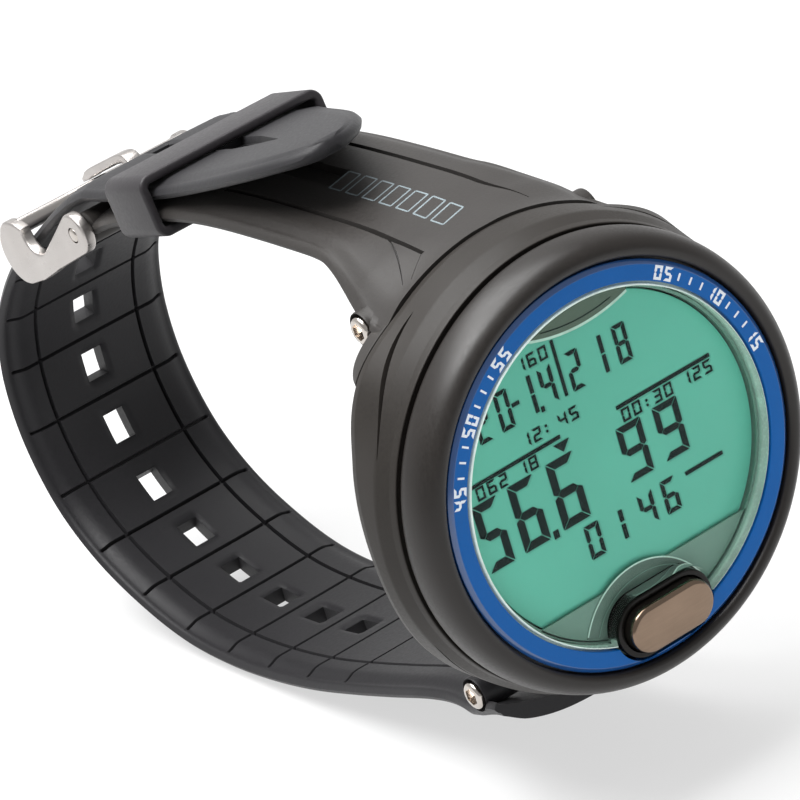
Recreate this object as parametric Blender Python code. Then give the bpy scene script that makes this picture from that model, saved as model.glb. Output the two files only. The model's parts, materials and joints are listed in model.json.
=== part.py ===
"""Wrist dive computer, buckled shut: round case with lens, display, button and back, and a two-part strap.

Sizes are in millimetres here and become metres when a mesh is made. The design reads from the front face
backwards: DEPTH is measured from the face of the colour ring towards the wrist, X runs to 3 o'clock and Z to
12 o'clock, both from the middle of the display. place() turns that into the part's own frame, whose origin is
the centre of the case back, with the display facing -Y.
"""

import math

import bmesh
import bpy
from mathutils import Matrix, Vector

MM = 0.001

# Driving dimensions, mm.
CASE_DEPTH = 20.5
BACK_CENTRE_Z = -2.2
SHELL_RADIUS = 29.4
SHELL_REAR_DEPTH = 14.3
BORE_RADIUS = 21.4
LEDGE_DEPTH = 4.0
RING_OUTER_RADIUS = 25.0
RING_INNER_RADIUS = 22.4
BEZEL_SEAM_RADIUS = 28.4
BACK_RIM_RADIUS = 22.2
REAR_COVER_RADIUS = 20.4
HATCH_RADIUS = 12.6
PIN_REACH = 25.2
PIN_DEPTH = 19.5
PIN_RADIUS = 1.1
PIN_HEAD_RADIUS = 1.8
PIN_HALF_LENGTH = 18.0
KNUCKLE_RADIUS = 2.3
LUG_NOSE_RADIUS = 2.2
LUG_HALF_WIDTH = 10.5
STRAP_HALF_WIDTH = 13.75
STRAP_END_HALF_WIDTH = 12.8
STRAP_FLARE_HALF_WIDTH = 17.8
STRAP_EAR_HALF_WIDTH = 18.0
STRAP_THICKNESS = 3.0
STRAP_EDGE_THICKNESS = 1.6
ROOT_THICKNESS = 2.4
KEEPER_ZONE_THICKNESS = 2.3
HOLE_PITCH = 10.2
HOLE_WIDTH = 3.2
HOLE_LENGTH = 4.6
HOLES_TO_LUG = 12
HOLES_TO_TIP = 3
GAP = 0.3

BUTTON_Z = -20.0
BUTTON_HALF_WIDTH = 6.3
BUTTON_HALF_HEIGHT = 3.0

SCREW_REACH = 19.1
SENSOR_REACH = 14.9
TONGUE_HALF_WIDTH = 1.1
TONGUE_HOLE = (96.5, 22.95)

# The buckle's pivot and bar, as (depth, height).
BUCKLE_PIVOT = (91.0, 21.2)
BUCKLE_BAR = (109.2, 18.4)
BUCKLE_PIN_RADIUS = 1.0
EYE_RADIUS = 2.2
BUCKLE_INNER_HALF_WIDTH = 13.2
BUCKLE_OUTER_HALF_WIDTH = 14.9

# The keeper sits where both straps run straight and parallel.
KEEPER_CENTRE = (73.7, 27.6)
KEEPER_SLOPE = -0.21
KEEPER_LENGTH = 10.3
KEEPER_WALL = 1.25

ROUND = 44
SMALL_ROUND = 16

# The middle surface of each strap, as (depth, height) points of one smooth curve.
SHORT_STRAP_PATH = (
    (14.6, 28.4), (25.0, 28.6), (35.0, 28.8), (45.0, 28.9), (54.0, 28.8),
    (61.0, 28.4), (67.6, 27.6), (73.7, 26.4), (79.0, 25.05), (85.0, 23.5), (91.0, 21.2),
)
NARROWING_POINT = (129.2, -9.8)
LONG_STRAP_PATH = (
    (14.6, -32.0), (20.0, -32.5), (28.0, -33.2), (38.0, -34.9), (48.0, -37.4),
    (58.0, -39.8), (68.5, -42.0), (79.0, -43.4), (89.3, -43.9), (99.8, -43.1),
    (109.6, -40.2), (118.8, -35.4), (125.6, -28.6), (129.2, -19.4), NARROWING_POINT,
    (126.0, -0.8), (120.9, 5.9), (114.2, 12.0), (106.5, 17.0), (98.5, 22.0),
    (91.0, 25.7), (85.0, 26.9), (79.0, 28.0), (73.7, 29.1), (67.0, 30.6), (61.0, 32.2),
    (55.0, 33.9), (48.0, 35.9), (41.0, 37.8), (34.8, 39.3),
)
TIP_LENGTH = 33.5
TIP_TAPER = 0.38
TIP_LEAN = 0.16


def place(x, depth, z):
    """A design point, mm, as a point of the part's frame, in metres."""
    return Vector((x * MM, (depth - CASE_DEPTH) * MM, (z - BACK_CENTRE_Z) * MM))


def clear_scene():
    for obj in list(bpy.data.objects):
        bpy.data.objects.remove(obj, do_unlink=True)


def make_material(name, colour, roughness, metallic=0.0):
    material = bpy.data.materials.new(name)
    material.use_nodes = True
    shader = material.node_tree.nodes["Principled BSDF"]
    shader.inputs["Base Color"].default_value = (*colour, 1.0)
    shader.inputs["Roughness"].default_value = roughness
    shader.inputs["Metallic"].default_value = metallic
    return material


def finish_mesh(name, bm, material=None, smooth=True):
    """Turns a bmesh into a named object; with no material it is a hidden cutter or joining piece."""
    bmesh.ops.recalc_face_normals(bm, faces=bm.faces)
    mesh = bpy.data.meshes.new(name)
    bm.to_mesh(mesh)
    bm.free()
    if smooth:
        mesh.shade_smooth()
        mesh.set_sharp_from_angle(angle=math.radians(32))
    obj = bpy.data.objects.new(name, mesh)
    bpy.context.scene.collection.objects.link(obj)
    if material is None:
        obj.hide_render = True
        obj.display_type = "WIRE"
    else:
        mesh.materials.append(material)
    return obj


def turned(name, profile, material=None, centre_z=0.0, centre_x=0.0, segments=ROUND):
    """A solid turned about the depth axis, from (radius, depth) pairs or a function giving them."""
    bm = bmesh.new()
    rings = []
    for step in range(segments):
        angle = 2 * math.pi * (step + 0.5) / segments
        points = profile(angle) if callable(profile) else profile
        ring = []
        for index, (radius, depth) in enumerate(points):
            if radius == 0 and step:
                ring.append(rings[0][index])
                continue
            x = centre_x + radius * math.sin(angle)
            z = centre_z + radius * math.cos(angle)
            ring.append(bm.verts.new(place(x, depth, z)))
        rings.append(ring)
    for step, ring in enumerate(rings):
        other = rings[(step + 1) % segments]
        for index in range(len(ring)):
            after = (index + 1) % len(ring)
            corners = [ring[index], ring[after], other[after], other[index]]
            corners = list(dict.fromkeys(corners))
            if len(corners) > 2:
                bm.faces.new(corners)
    return finish_mesh(name, bm, material)


def washer(name, inner, outer, front, back, material=None, **where):
    return turned(name, [(inner, front), (outer, front), (outer, back), (inner, back)], material, **where)


def disc(name, radius, front, back, material=None, **where):
    return turned(name, [(0, front), (radius, front), (radius, back), (0, back)], material, **where)


def seal_ring(name, radius, thickness, depth, material, **where):
    """An O-ring about the depth axis."""
    sides = 6
    profile = []
    for side in range(sides):
        angle = 2 * math.pi * side / sides
        profile.append((radius + thickness / 2 * math.cos(angle), depth + thickness / 2 * math.sin(angle)))
    where.setdefault("segments", 28)
    return turned(name, profile, material, **where)


def extruded(name, outline, first, last, to_point, material=None, smooth=True):
    """A prism between two levels; to_point maps (u, v, level) to a point."""
    bm = bmesh.new()
    ends = []
    for level in (first, last):
        ends.append([bm.verts.new(to_point(u, v, level)) for u, v in outline])
    bm.faces.new(ends[0])
    bm.faces.new(list(reversed(ends[1])))
    count = len(outline)
    for index in range(count):
        after = (index + 1) % count
        bm.faces.new([ends[0][after], ends[0][index], ends[1][index], ends[1][after]])
    return finish_mesh(name, bm, material, smooth)


def face_plate(name, outline, front, back, material=None):
    """A plate parallel to the display, its outline given as (x, z)."""
    return extruded(name, outline, front, back, lambda u, v, level: place(u, level, v), material)


def side_plate(name, outline, left, right, material=None):
    """A plate square to the X axis, its outline given as (depth, z)."""
    return extruded(name, outline, left, right, lambda u, v, level: place(level, u, v), material)


def rod(name, profile, depth, z, material=None, segments=SMALL_ROUND):
    """A solid turned about a line along X. The profile is (x, radius), from one end to the other."""
    bm = bmesh.new()
    rings = []
    for x, radius in profile:
        if radius == 0:
            rings.append([bm.verts.new(place(x, depth, z))])
            continue
        ring = []
        for step in range(segments):
            angle = 2 * math.pi * (step + 0.37) / segments
            rise = radius * math.sin(angle)
            ring.append(bm.verts.new(place(x, depth + radius * math.cos(angle), z + rise)))
        rings.append(ring)
    for ring, other in zip(rings, rings[1:]):
        for step in range(segments):
            after = (step + 1) % segments
            corners = [
                ring[step % len(ring)],
                ring[after % len(ring)],
                other[after % len(other)],
                other[step % len(other)],
            ]
            corners = list(dict.fromkeys(corners))
            if len(corners) > 2:
                bm.faces.new(corners)
    for ring in (rings[0], rings[-1]):
        if len(ring) > 1:
            bm.faces.new(ring)
    return finish_mesh(name, bm, material)


def arc(centre, radius, start, end, steps):
    """Points on an arc, angles in degrees."""
    points = []
    for step in range(steps + 1):
        angle = math.radians(start + (end - start) * step / steps)
        points.append((centre[0] + radius * math.cos(angle), centre[1] + radius * math.sin(angle)))
    return points


def stadium(half_width, half_height, centre_z=0.0, steps=8):
    """An oval with straight sides and round ends, as (x, z)."""
    straight = half_width - half_height
    right = arc((straight, centre_z), half_height, -90, 90, steps)
    left = arc((-straight, centre_z), half_height, 90, 270, steps)
    return right + left


def rounded_box(half_width, half_height, corner, steps=4):
    points = []
    for quarter, (sx, sz) in enumerate(((1, 1), (-1, 1), (-1, -1), (1, -1))):
        centre = (sx * (half_width - corner), sz * (half_height - corner))
        points += arc(centre, corner, quarter * 90, quarter * 90 + 90, steps)
    return points


def combine(target, other, operation):
    """Applies a Boolean as a modifier that stays on the target."""
    other.hide_render = True
    other.display_type = "WIRE"
    modifier = target.modifiers.new(f"{operation.lower()} {other.name}", "BOOLEAN")
    modifier.operation = operation
    modifier.object = other
    modifier.solver = "EXACT"


def cut(target, *cutters):
    for cutter in cutters:
        combine(target, cutter, "DIFFERENCE")


def join(target, *others):
    for other in others:
        combine(target, other, "UNION")


def set_origin(obj, point):
    """Moves an object's origin to a point of the part's frame and leaves its shape where it is."""
    obj.data.transform(Matrix.Translation(-point))
    obj.location = point


def smooth_step(value):
    value = min(max(value, 0.0), 1.0)
    return value * value * (3 - 2 * value)


# Materials

def make_materials():
    return {
        "case": make_material("case_moulding", (0.100, 0.095, 0.085), 0.45),
        "bezel": make_material("bezel_satin", (0.045, 0.040, 0.036), 0.30, 0.5),
        "ring": make_material("ring_blue", (0.012, 0.110, 0.380), 0.12),
        "lens": make_material("lens_clear", (0.80, 0.88, 0.86), 0.03),
        "mask": make_material("mask_grey", (0.19, 0.25, 0.22), 0.4),
        "lcd": make_material("lcd_glass", (0.12, 0.44, 0.34), 0.2),
        "light": make_material("backlight_white", (0.80, 0.82, 0.80), 0.5),
        "board": make_material("board_green", (0.02, 0.13, 0.05), 0.5),
        "chip": make_material("chip_black", (0.02, 0.02, 0.02), 0.4),
        "chassis": make_material("chassis_grey", (0.15, 0.15, 0.15), 0.5),
        "steel": make_material("steel_satin", (0.62, 0.60, 0.57), 0.28, 1.0),
        "cell": make_material("cell_nickel", (0.60, 0.60, 0.58), 0.22, 1.0),
        "brass": make_material("bush_brass", (0.55, 0.40, 0.16), 0.3, 1.0),
        "button": make_material("button_bronze", (0.30, 0.23, 0.17), 0.15, 1.0),
        "seal": make_material("seal_rubber", (0.03, 0.03, 0.03), 0.7),
        "strap": make_material("strap_elastomer", (0.055, 0.053, 0.055), 0.55),
    }


# Case and front

def shell_profile(angle):
    """The case's section at one clock angle.

    Its rear edge sweeps forward at 3 and 9 o'clock and swells at the strap's corners and at 6 o'clock.
    """
    turn = abs(math.degrees(math.atan2(math.sin(angle), math.cos(angle))))
    rear = SHELL_REAR_DEPTH - 2.4 * (1 - smooth_step(abs(turn - 95) / 40))
    corner = 1.1 * (1 - smooth_step(abs(turn - 48) / 20))
    foot = 1.4 * smooth_step((turn - 135) / 35)
    side = SHELL_RADIUS + foot / 2
    rear_radius = SHELL_RADIUS + 0.1 + corner + foot
    return [
        (BORE_RADIUS, LEDGE_DEPTH),
        (26.8, LEDGE_DEPTH),
        (26.8, 6.2),
        (BEZEL_SEAM_RADIUS - 0.4, 6.2),
        (BEZEL_SEAM_RADIUS + 0.1, 5.7),
        (side - 0.9, 6.8),
        (side - 0.4, 7.6),
        (side, 8.8),
        (rear_radius, rear - 1.2),
        (rear_radius - 0.4, rear),
        (24.0, rear),
        (24.0, 15.0),
        (BORE_RADIUS, 15.0),
    ]


def lug_outline(side):
    """The side view of one case lug; side is 1 at 12 o'clock and -1 at 6 o'clock."""
    pin_z = BACK_CENTRE_Z + side * PIN_REACH
    nose = arc((PIN_DEPTH, pin_z), LUG_NOSE_RADIUS, 90 * side, -90 * side, 8)
    root = [(16.0, pin_z - side * 5.5), (14.0, pin_z - side * 5.5), (14.0, pin_z + side * 1.6)]
    return nose + root


def crescent_cutter(name, middle, half_span):
    """A curved slot that tapers to both ends, cut into the side of the shell."""
    steps = 6
    bm = bmesh.new()
    inner = []
    outer = []
    for step in range(steps + 1):
        along = step / steps
        angle = math.radians(middle + half_span * (2 * along - 1))
        half = 0.15 + 0.45 * math.sin(math.pi * along)
        depth = 9.6
        for radius, row in ((28.6, inner), (31.5, outer)):
            x = radius * math.sin(angle)
            z = radius * math.cos(angle)
            row.append([bm.verts.new(place(x, depth - half, z)), bm.verts.new(place(x, depth + half, z))])
    for step in range(steps):
        a, b = inner[step], inner[step + 1]
        c, d = outer[step], outer[step + 1]
        bm.faces.new([a[0], a[1], b[1], b[0]])
        bm.faces.new([c[0], d[0], d[1], c[1]])
        bm.faces.new([a[0], b[0], d[0], c[0]])
        bm.faces.new([a[1], c[1], d[1], b[1]])
    bm.faces.new([inner[0][0], outer[0][0], outer[0][1], inner[0][1]])
    bm.faces.new([inner[-1][0], inner[-1][1], outer[-1][1], outer[-1][0]])
    return finish_mesh(name, bm)


def make_case(materials):
    case = turned("case_body", shell_profile, materials["case"])
    hub = turned(
        "case_hub",
        [(16.6, 12.4), (24.4, 12.4), (24.2, 15.5), (23.4, 18.6), (BACK_RIM_RADIUS, 20.0),
         (REAR_COVER_RADIUS + GAP, 20.0), (REAR_COVER_RADIUS + GAP, 16.1), (16.6, 16.1)],
        centre_z=BACK_CENTRE_Z,
    )
    join(case, hub)
    for side, label in ((1, "12"), (-1, "6")):
        join(case, side_plate(f"lug_block_{label}", lug_outline(side), -LUG_HALF_WIDTH, LUG_HALF_WIDTH))
        bore_profile = [(-14, PIN_RADIUS + 0.2), (14, PIN_RADIUS + 0.2)]
        cut(case, rod(f"lug_bore_{label}", bore_profile, PIN_DEPTH, BACK_CENTRE_Z + side * PIN_REACH))
    for number, (x, z) in enumerate(screw_places()):
        cut(case, disc(f"screw_socket_{number}", 0.75, 13.4, 16.4, centre_x=x, centre_z=z, segments=12))
    for name, middle in (("10", -52), ("2", 52), ("8", -128), ("4", 128)):
        cut(case, crescent_cutter(f"crescent_{name}", middle, 20))
    collar_seat = stadium(BUTTON_HALF_WIDTH + 1.0 + GAP, BUTTON_HALF_HEIGHT + 1.0 + GAP, BUTTON_Z)
    cut(case, face_plate("collar_seat", collar_seat, 3.0, 7.0))
    return case


def make_front(materials):
    turned(
        "front_bezel",
        [(24.6, 1.7), (25.25, 1.7), (25.3, 0.1), (25.9, -0.3), (26.8, -0.1), (27.7, 1.0), (28.2, 2.6),
         (BEZEL_SEAM_RADIUS, 4.6), (28.0, 5.6), (27.1, 5.6), (27.1, 3.7), (24.6, 3.7)],
        materials["bezel"],
    )
    ring = turned(
        "colour_ring",
        [(RING_INNER_RADIUS, 0.1), (RING_INNER_RADIUS + 0.1, 0.0), (24.6, 0.0), (RING_OUTER_RADIUS, 0.3),
         (RING_OUTER_RADIUS, 1.4), (RING_INNER_RADIUS, 1.4)],
        materials["ring"],
    )
    lens = turned(
        "lens",
        [(0, -0.9), (12, -0.7), (21.8, -0.1), (22.1, 0.1), (22.1, 1.7), (24.2, 1.7), (24.2, 2.7),
         (22.0, 2.7), (21.9, 1.3), (0, 1.3)],
        materials["lens"],
    )
    gasket = washer("lens_gasket", 22.2, 24.2, 2.8, 3.9, materials["seal"])
    mask = turned("display_mask", [(21.4, 1.7), (21.8, 1.7), (21.8, 3.6), (21.4, 3.6)], materials["mask"])
    foot = arc((0, 0), 21.6, -41.5, -138.5, 12)
    join(mask, face_plate("mask_foot", foot, 1.7, 2.0))
    opening = stadium(BUTTON_HALF_WIDTH + 1.0 + GAP, BUTTON_HALF_HEIGHT + 1.0 + GAP, BUTTON_Z)
    for target in (ring, lens, gasket, mask):
        cut(target, face_plate(f"{target.name}_opening", opening, -3.0, 5.0))


# Display stack and electronics

def make_electronics(materials):
    face_plate("lcd_panel", arc((0, 0), 21.15, -44, 224, 32), 2.3, 3.5, materials["lcd"])
    flat_foot = arc((0, 0), 20.9, -36, 216, 28)
    face_plate("backlight_panel", flat_foot, 3.8, 4.8, materials["light"])
    face_plate("chassis", flat_foot, 5.1, 8.1, materials["chassis"])
    strip = [(-14.0, -12.9), (-14.0, -14.2), (14.0, -14.2), (14.0, -12.9)]
    face_plate("lcd_connector", strip, 3.8, 8.4, materials["seal"])
    disc("main_board", 21.0, 8.7, 9.9, materials["board"], segments=48)
    face_plate("microcontroller", rectangle(9.0, 9.0, 7.0, 7.0), 10.1, 11.3, materials["chip"])
    face_plate("crystal", rectangle(9.0, 4.2, 6.0, 2.4), 10.1, 11.6, materials["cell"])
    disc("buzzer", 4.8, 10.1, 11.9, materials["brass"], centre_x=-13.5, centre_z=6.0, segments=24)
    face_plate("tact_switch", rectangle(0.0, BUTTON_Z + 0.6, 3.6, 1.8), 7.4, 8.5, materials["chip"])
    sensor_z = BACK_CENTRE_Z + SENSOR_REACH
    disc("pressure_sensor", 1.4, 12.9, 16.5, materials["steel"], centre_z=sensor_z, segments=20)
    disc("battery", 10.0, 13.0, 16.2, materials["cell"], centre_z=BACK_CENTRE_Z, segments=40)
    leaf = [(10.1, 6.0), (10.4, 6.0), (12.8, 0.5), (12.8, -1.0), (12.5, -1.0), (12.5, 0.3), (10.1, 5.6)]
    side_plate("contact_negative", leaf, -1.5, 1.5, materials["brass"])
    clip = [(10.1, -1.5), (15.5, -1.5), (15.5, 1.5), (10.1, 1.5)]
    side_plate("contact_positive", clip, 10.4, 10.8, materials["brass"])


def rectangle(x, z, width, height):
    return [
        (x - width / 2, z - height / 2),
        (x + width / 2, z - height / 2),
        (x + width / 2, z + height / 2),
        (x - width / 2, z + height / 2),
    ]


# Button

def make_button(materials):
    collar_outer = stadium(BUTTON_HALF_WIDTH + 1.0, BUTTON_HALF_HEIGHT + 1.0, BUTTON_Z)
    collar = face_plate("button_collar", collar_outer, -0.5, 5.8, materials["chassis"])
    well = stadium(BUTTON_HALF_WIDTH + GAP, BUTTON_HALF_HEIGHT + GAP, BUTTON_Z)
    cut(collar, face_plate("collar_well", well, -2.0, 4.2))
    cut(collar, disc("collar_bore", 1.9, 3.0, 7.0, centre_z=BUTTON_Z, segments=20))
    at_button = {"centre_z": BUTTON_Z, "segments": 14}
    washer("button_bush", 1.1, 1.7, 5.0, 5.8, materials["brass"], **at_button)
    seal_ring("button_seal", 1.4, 0.6, 4.5, materials["seal"], **at_button)
    levels = ((1.2, 0.0), (-0.8, 0.0), (-1.5, 0.25), (-2.0, 0.8), (-2.3, 1.8))
    cap = stacked("button_cap", levels, materials["button"])
    stem = disc("button_stem", 0.9, 1.3, 6.7, materials["steel"], **at_button)
    clip = washer("button_clip", 1.0, 1.7, 6.1, 6.4, materials["steel"], **at_button)
    spring = coil("button_spring", materials["steel"])
    for piece in (cap, stem, clip, spring):
        set_origin(piece, place(0, 0, BUTTON_Z))


def stacked(name, levels, material):
    """The button cap: one oval above another, each (depth, inset)."""
    bm = bmesh.new()
    rings = []
    for depth, inset in levels:
        outline = stadium(BUTTON_HALF_WIDTH - inset, BUTTON_HALF_HEIGHT - inset, BUTTON_Z)
        rings.append([bm.verts.new(place(x, depth, z)) for x, z in outline])
    for ring, other in zip(rings, rings[1:]):
        for index in range(len(ring)):
            after = (index + 1) % len(ring)
            bm.faces.new([ring[index], ring[after], other[after], other[index]])
    bm.faces.new(rings[0])
    bm.faces.new(rings[-1])
    return finish_mesh(name, bm, material)


def coil(name, material):
    """The button's return spring, a round wire wound about the stem."""
    radius, wire, turns, first, last = 2.2, 0.2, 2.5, 1.6, 3.0
    steps = int(turns * 12)
    sides = 6
    bm = bmesh.new()
    rings = []
    for step in range(steps + 1):
        angle = 2 * math.pi * turns * step / steps
        centre_depth = first + (last - first) * step / steps
        ring = []
        for side in range(sides):
            around = 2 * math.pi * side / sides
            reach = radius + wire * math.cos(around)
            x = reach * math.sin(angle)
            z = BUTTON_Z + reach * math.cos(angle)
            ring.append(bm.verts.new(place(x, centre_depth + wire * math.sin(around), z)))
        rings.append(ring)
    for ring, other in zip(rings, rings[1:]):
        for side in range(sides):
            after = (side + 1) % sides
            bm.faces.new([ring[side], ring[after], other[after], other[side]])
    bm.faces.new(rings[0])
    bm.faces.new(rings[-1])
    return finish_mesh(name, bm, material)


# Back

def screw_places():
    places = []
    for quarter in range(4):
        angle = math.radians(45 + 90 * quarter)
        x = SCREW_REACH * math.sin(angle)
        z = BACK_CENTRE_Z + SCREW_REACH * math.cos(angle)
        places.append((x, z))
    return places


def make_back(materials):
    centred = {"centre_z": BACK_CENTRE_Z}
    cover = turned(
        "rear_cover",
        [(11.2, 16.9), (REAR_COVER_RADIUS, 16.9), (REAR_COVER_RADIUS, 20.3),
         (REAR_COVER_RADIUS - 0.15, CASE_DEPTH), (HATCH_RADIUS + GAP, CASE_DEPTH),
         (HATCH_RADIUS + GAP, 17.6), (11.2, 17.6)],
        materials["case"],
        segments=60,
        **centred,
    )
    for number, (x, z) in enumerate(screw_places()):
        stepped_hole = [(0, 16.0), (0.8, 16.0), (0.8, 19.3), (1.1, 19.3), (1.1, 21.0), (0, 21.0)]
        cut(cover, turned(f"screw_hole_{number}", stepped_hole, centre_x=x, centre_z=z, segments=12))
        screw = turned(
            f"rear_cover_screw_{number + 1}",
            [(0, 14.2), (0.5, 14.2), (0.5, 19.5), (0.95, 19.5), (0.95, 20.3), (0, 20.3)],
            materials["steel"], centre_x=x, centre_z=z, segments=12,
        )
        cut(screw, rod(f"screw_slot_{number}", [(x - 2, 0.18), (x + 2, 0.18)], 20.3, z, segments=4))
    sensor_z = BACK_CENTRE_Z + SENSOR_REACH
    cut(cover, disc("sensor_port", 0.9, 16.0, 21.0, centre_z=sensor_z, segments=14))
    stud_x = SENSOR_REACH * math.sin(math.radians(225))
    stud_z = BACK_CENTRE_Z + SENSOR_REACH * math.cos(math.radians(225))
    cut(cover, disc("stud_hole", 1.0, 16.0, 21.0, centre_x=stud_x, centre_z=stud_z, segments=14))
    disc("wet_contact", 0.7, 14.0, 20.3, materials["steel"], centre_x=stud_x, centre_z=stud_z, segments=12)
    seal_ring("rear_cover_seal", 17.4, 0.6, 16.5, materials["seal"], **centred)
    hatch = turned(
        "battery_cover",
        [(0, 16.6), (10.8, 16.6), (10.8, 18.6), (HATCH_RADIUS, 18.6), (HATCH_RADIUS, 20.3),
         (HATCH_RADIUS - 0.2, CASE_DEPTH), (0, CASE_DEPTH)],
        materials["chassis"],
        **centred,
    )
    for side in (-1, 1):
        hole = disc(f"spanner_hole_{side}", 1.25, 19.1, 21.0, centre_x=8.7 * side, segments=14, **centred)
        cut(hatch, hole)
    seal = seal_ring("battery_cover_seal", 11.8, 0.7, 18.1, materials["seal"], **centred)
    for piece in (hatch, seal):
        set_origin(piece, place(0, CASE_DEPTH, BACK_CENTRE_Z))


# Lug pins

def make_pins(materials):
    head_inner = PIN_HALF_LENGTH - 1.5
    key_floor = PIN_HALF_LENGTH - 1.1
    for side, label in ((1, "12"), (-1, "6")):
        z = BACK_CENTRE_Z + side * PIN_REACH
        pin = rod(
            f"lug_pin_{label}",
            [(-PIN_HALF_LENGTH, 1.4), (0.3 - PIN_HALF_LENGTH, PIN_HEAD_RADIUS),
             (-head_inner, PIN_HEAD_RADIUS), (-head_inner, PIN_RADIUS), (head_inner - GAP, PIN_RADIUS)],
            PIN_DEPTH, z, materials["steel"],
        )
        cut(pin, rod(f"pin_socket_{label}", [(-20, 1.1), (-key_floor, 1.1)], PIN_DEPTH, z, segments=6))
        cut(pin, rod(f"pin_thread_{label}", [(10.0, 0.7), (20.0, 0.7)], PIN_DEPTH, z, segments=12))
        screw = rod(
            f"lug_screw_{label}",
            [(11.0, 0.5), (head_inner, 0.5), (head_inner, PIN_HEAD_RADIUS),
             (PIN_HALF_LENGTH - 0.3, PIN_HEAD_RADIUS), (PIN_HALF_LENGTH, 1.4)],
            PIN_DEPTH, z, materials["steel"],
        )
        cut(screw, rod(f"screw_socket_{label}", [(key_floor, 1.1), (20, 1.1)], PIN_DEPTH, z, segments=6))


# Straps

def catmull_rom(a, b, c, d, t):
    """The value between b and c of a smooth run of values a, b, c, d."""
    linear = c - a
    square = 2 * a - 5 * b + 4 * c - d
    cube = 3 * b - a - 3 * c + d
    return 0.5 * (2 * b + linear * t + square * t**2 + cube * t**3)


def curve_through(points):
    """A smooth curve through the given points, as closely spaced points with their lengths."""
    dense = []
    for index in range(len(points) - 1):
        p0 = points[max(index - 1, 0)]
        p1, p2 = points[index], points[index + 1]
        p3 = points[min(index + 2, len(points) - 1)]
        for step in range(20):
            t = step / 20
            dense.append(tuple(catmull_rom(*values, t) for values in zip(p0, p1, p2, p3)))
    dense.append(points[-1])
    lengths = [0.0]
    for a, b in zip(dense, dense[1:]):
        lengths.append(lengths[-1] + math.dist(a, b))
    return StrapLine(dense, lengths)


class StrapLine:
    """A smooth line in the side view, read by its length from the lug."""

    def __init__(self, points, lengths):
        self.points = points
        self.lengths = lengths
        self.total = lengths[-1]

    def at(self, length):
        length = min(max(length, 0.0), self.total)
        index = 0
        while index < len(self.lengths) - 2 and self.lengths[index + 1] < length:
            index += 1
        share = (length - self.lengths[index]) / (self.lengths[index + 1] - self.lengths[index])
        a, b = self.points[index], self.points[index + 1]
        return (a[0] + (b[0] - a[0]) * share, a[1] + (b[1] - a[1]) * share)

    def direction(self, length):
        a = self.at(length - 0.8)
        b = self.at(length + 0.8)
        span = math.dist(a, b)
        return ((b[0] - a[0]) / span, (b[1] - a[1]) / span)

    def nearest(self, target):
        """The length at which the line passes closest to a point."""
        best = min(range(len(self.points)), key=lambda index: math.dist(self.points[index], target))
        return self.lengths[best]


def strap_body(name, line, stations, outward, half_width, thickness, crown, material, lean=None, holes=()):
    """A strap swept along its line, with square holes through its middle column of faces.

    outward is +1 or -1: which side of the direction of travel faces away from the wrist.
    """
    columns = (-1.0, -0.86, -HOLE_WIDTH / 2, HOLE_WIDTH / 2, 0.86, 1.0)
    bm = bmesh.new()
    rows = []
    for length in stations:
        depth, z = line.at(length)
        along = line.direction(length)
        normal = (-along[1] * outward, along[0] * outward)
        width = half_width(length)
        full = thickness(length)
        shift = lean(length) if lean else 0.0
        outer, inner = [], []
        for index, column in enumerate(columns):
            x = column if index in (2, 3) else column * width
            at_edge = index in (0, 5)
            share = abs(x) / width
            rise = -crown(length) * share**3
            reach = STRAP_EDGE_THICKNESS / 2 if at_edge else full / 2
            for row, offset in ((outer, rise + reach), (inner, rise - reach)):
                row.append(bm.verts.new(place(x + shift, depth + normal[0] * offset, z + normal[1] * offset)))
        rows.append((outer, inner))
    last = len(columns) - 1
    for number, ((outer, inner), (next_outer, next_inner)) in enumerate(zip(rows, rows[1:])):
        middle = (stations[number] + stations[number + 1]) / 2
        open_here = any(abs(middle - hole) < HOLE_LENGTH / 2 for hole in holes)
        for index in range(last):
            if index == 2 and open_here:
                continue
            bm.faces.new([outer[index], outer[index + 1], next_outer[index + 1], next_outer[index]])
            bm.faces.new([inner[index], next_inner[index], next_inner[index + 1], inner[index + 1]])
        for index in (0, last) + ((2, 3) if open_here else ()):
            bm.faces.new([outer[index], inner[index], next_inner[index], next_outer[index]])
        before_open = number and any(
            abs((stations[number - 1] + stations[number]) / 2 - hole) < HOLE_LENGTH / 2 for hole in holes
        )
        if open_here != bool(before_open):
            bm.faces.new([outer[2], outer[3], inner[3], inner[2]])
    for outer, inner in (rows[0], rows[-1]):
        for index in range(last):
            bm.faces.new([outer[index], outer[index + 1], inner[index + 1], inner[index]])
    return finish_mesh(name, bm, material)


def knuckle_boxes(side):
    """The two ears of a strap that the lug pin passes through, rounded about the pin."""
    z = BACK_CENTRE_Z + side * PIN_REACH
    pieces = []
    for hand in (-1, 1):
        ends = sorted((hand * (LUG_HALF_WIDTH + GAP), hand * STRAP_EAR_HALF_WIDTH))
        outline = arc((PIN_DEPTH, z), KNUCKLE_RADIUS, 0, -180 * side, 8)
        top = z + side * (2.2 if side == 1 else 3.4)
        outline += [(PIN_DEPTH - KNUCKLE_RADIUS, top), (PIN_DEPTH + KNUCKLE_RADIUS, top)]
        pieces.append(side_plate(f"strap_ear_{side}_{hand}", outline, *ends))
    return pieces


def pin_bores(side):
    z = BACK_CENTRE_Z + side * PIN_REACH
    shaft = rod(f"strap_bore_{side}", [(-25, PIN_RADIUS + 0.2), (25, PIN_RADIUS + 0.2)], PIN_DEPTH, z)
    cutters = [shaft]
    recess = PIN_HEAD_RADIUS + 0.35
    for hand in (-1, 1):
        ends = sorted((hand * (PIN_HALF_LENGTH - 1.8), hand * 25))
        cutters.append(rod(f"strap_recess_{side}_{hand}", [(x, recess) for x in ends], PIN_DEPTH, z))
    return cutters


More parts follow.
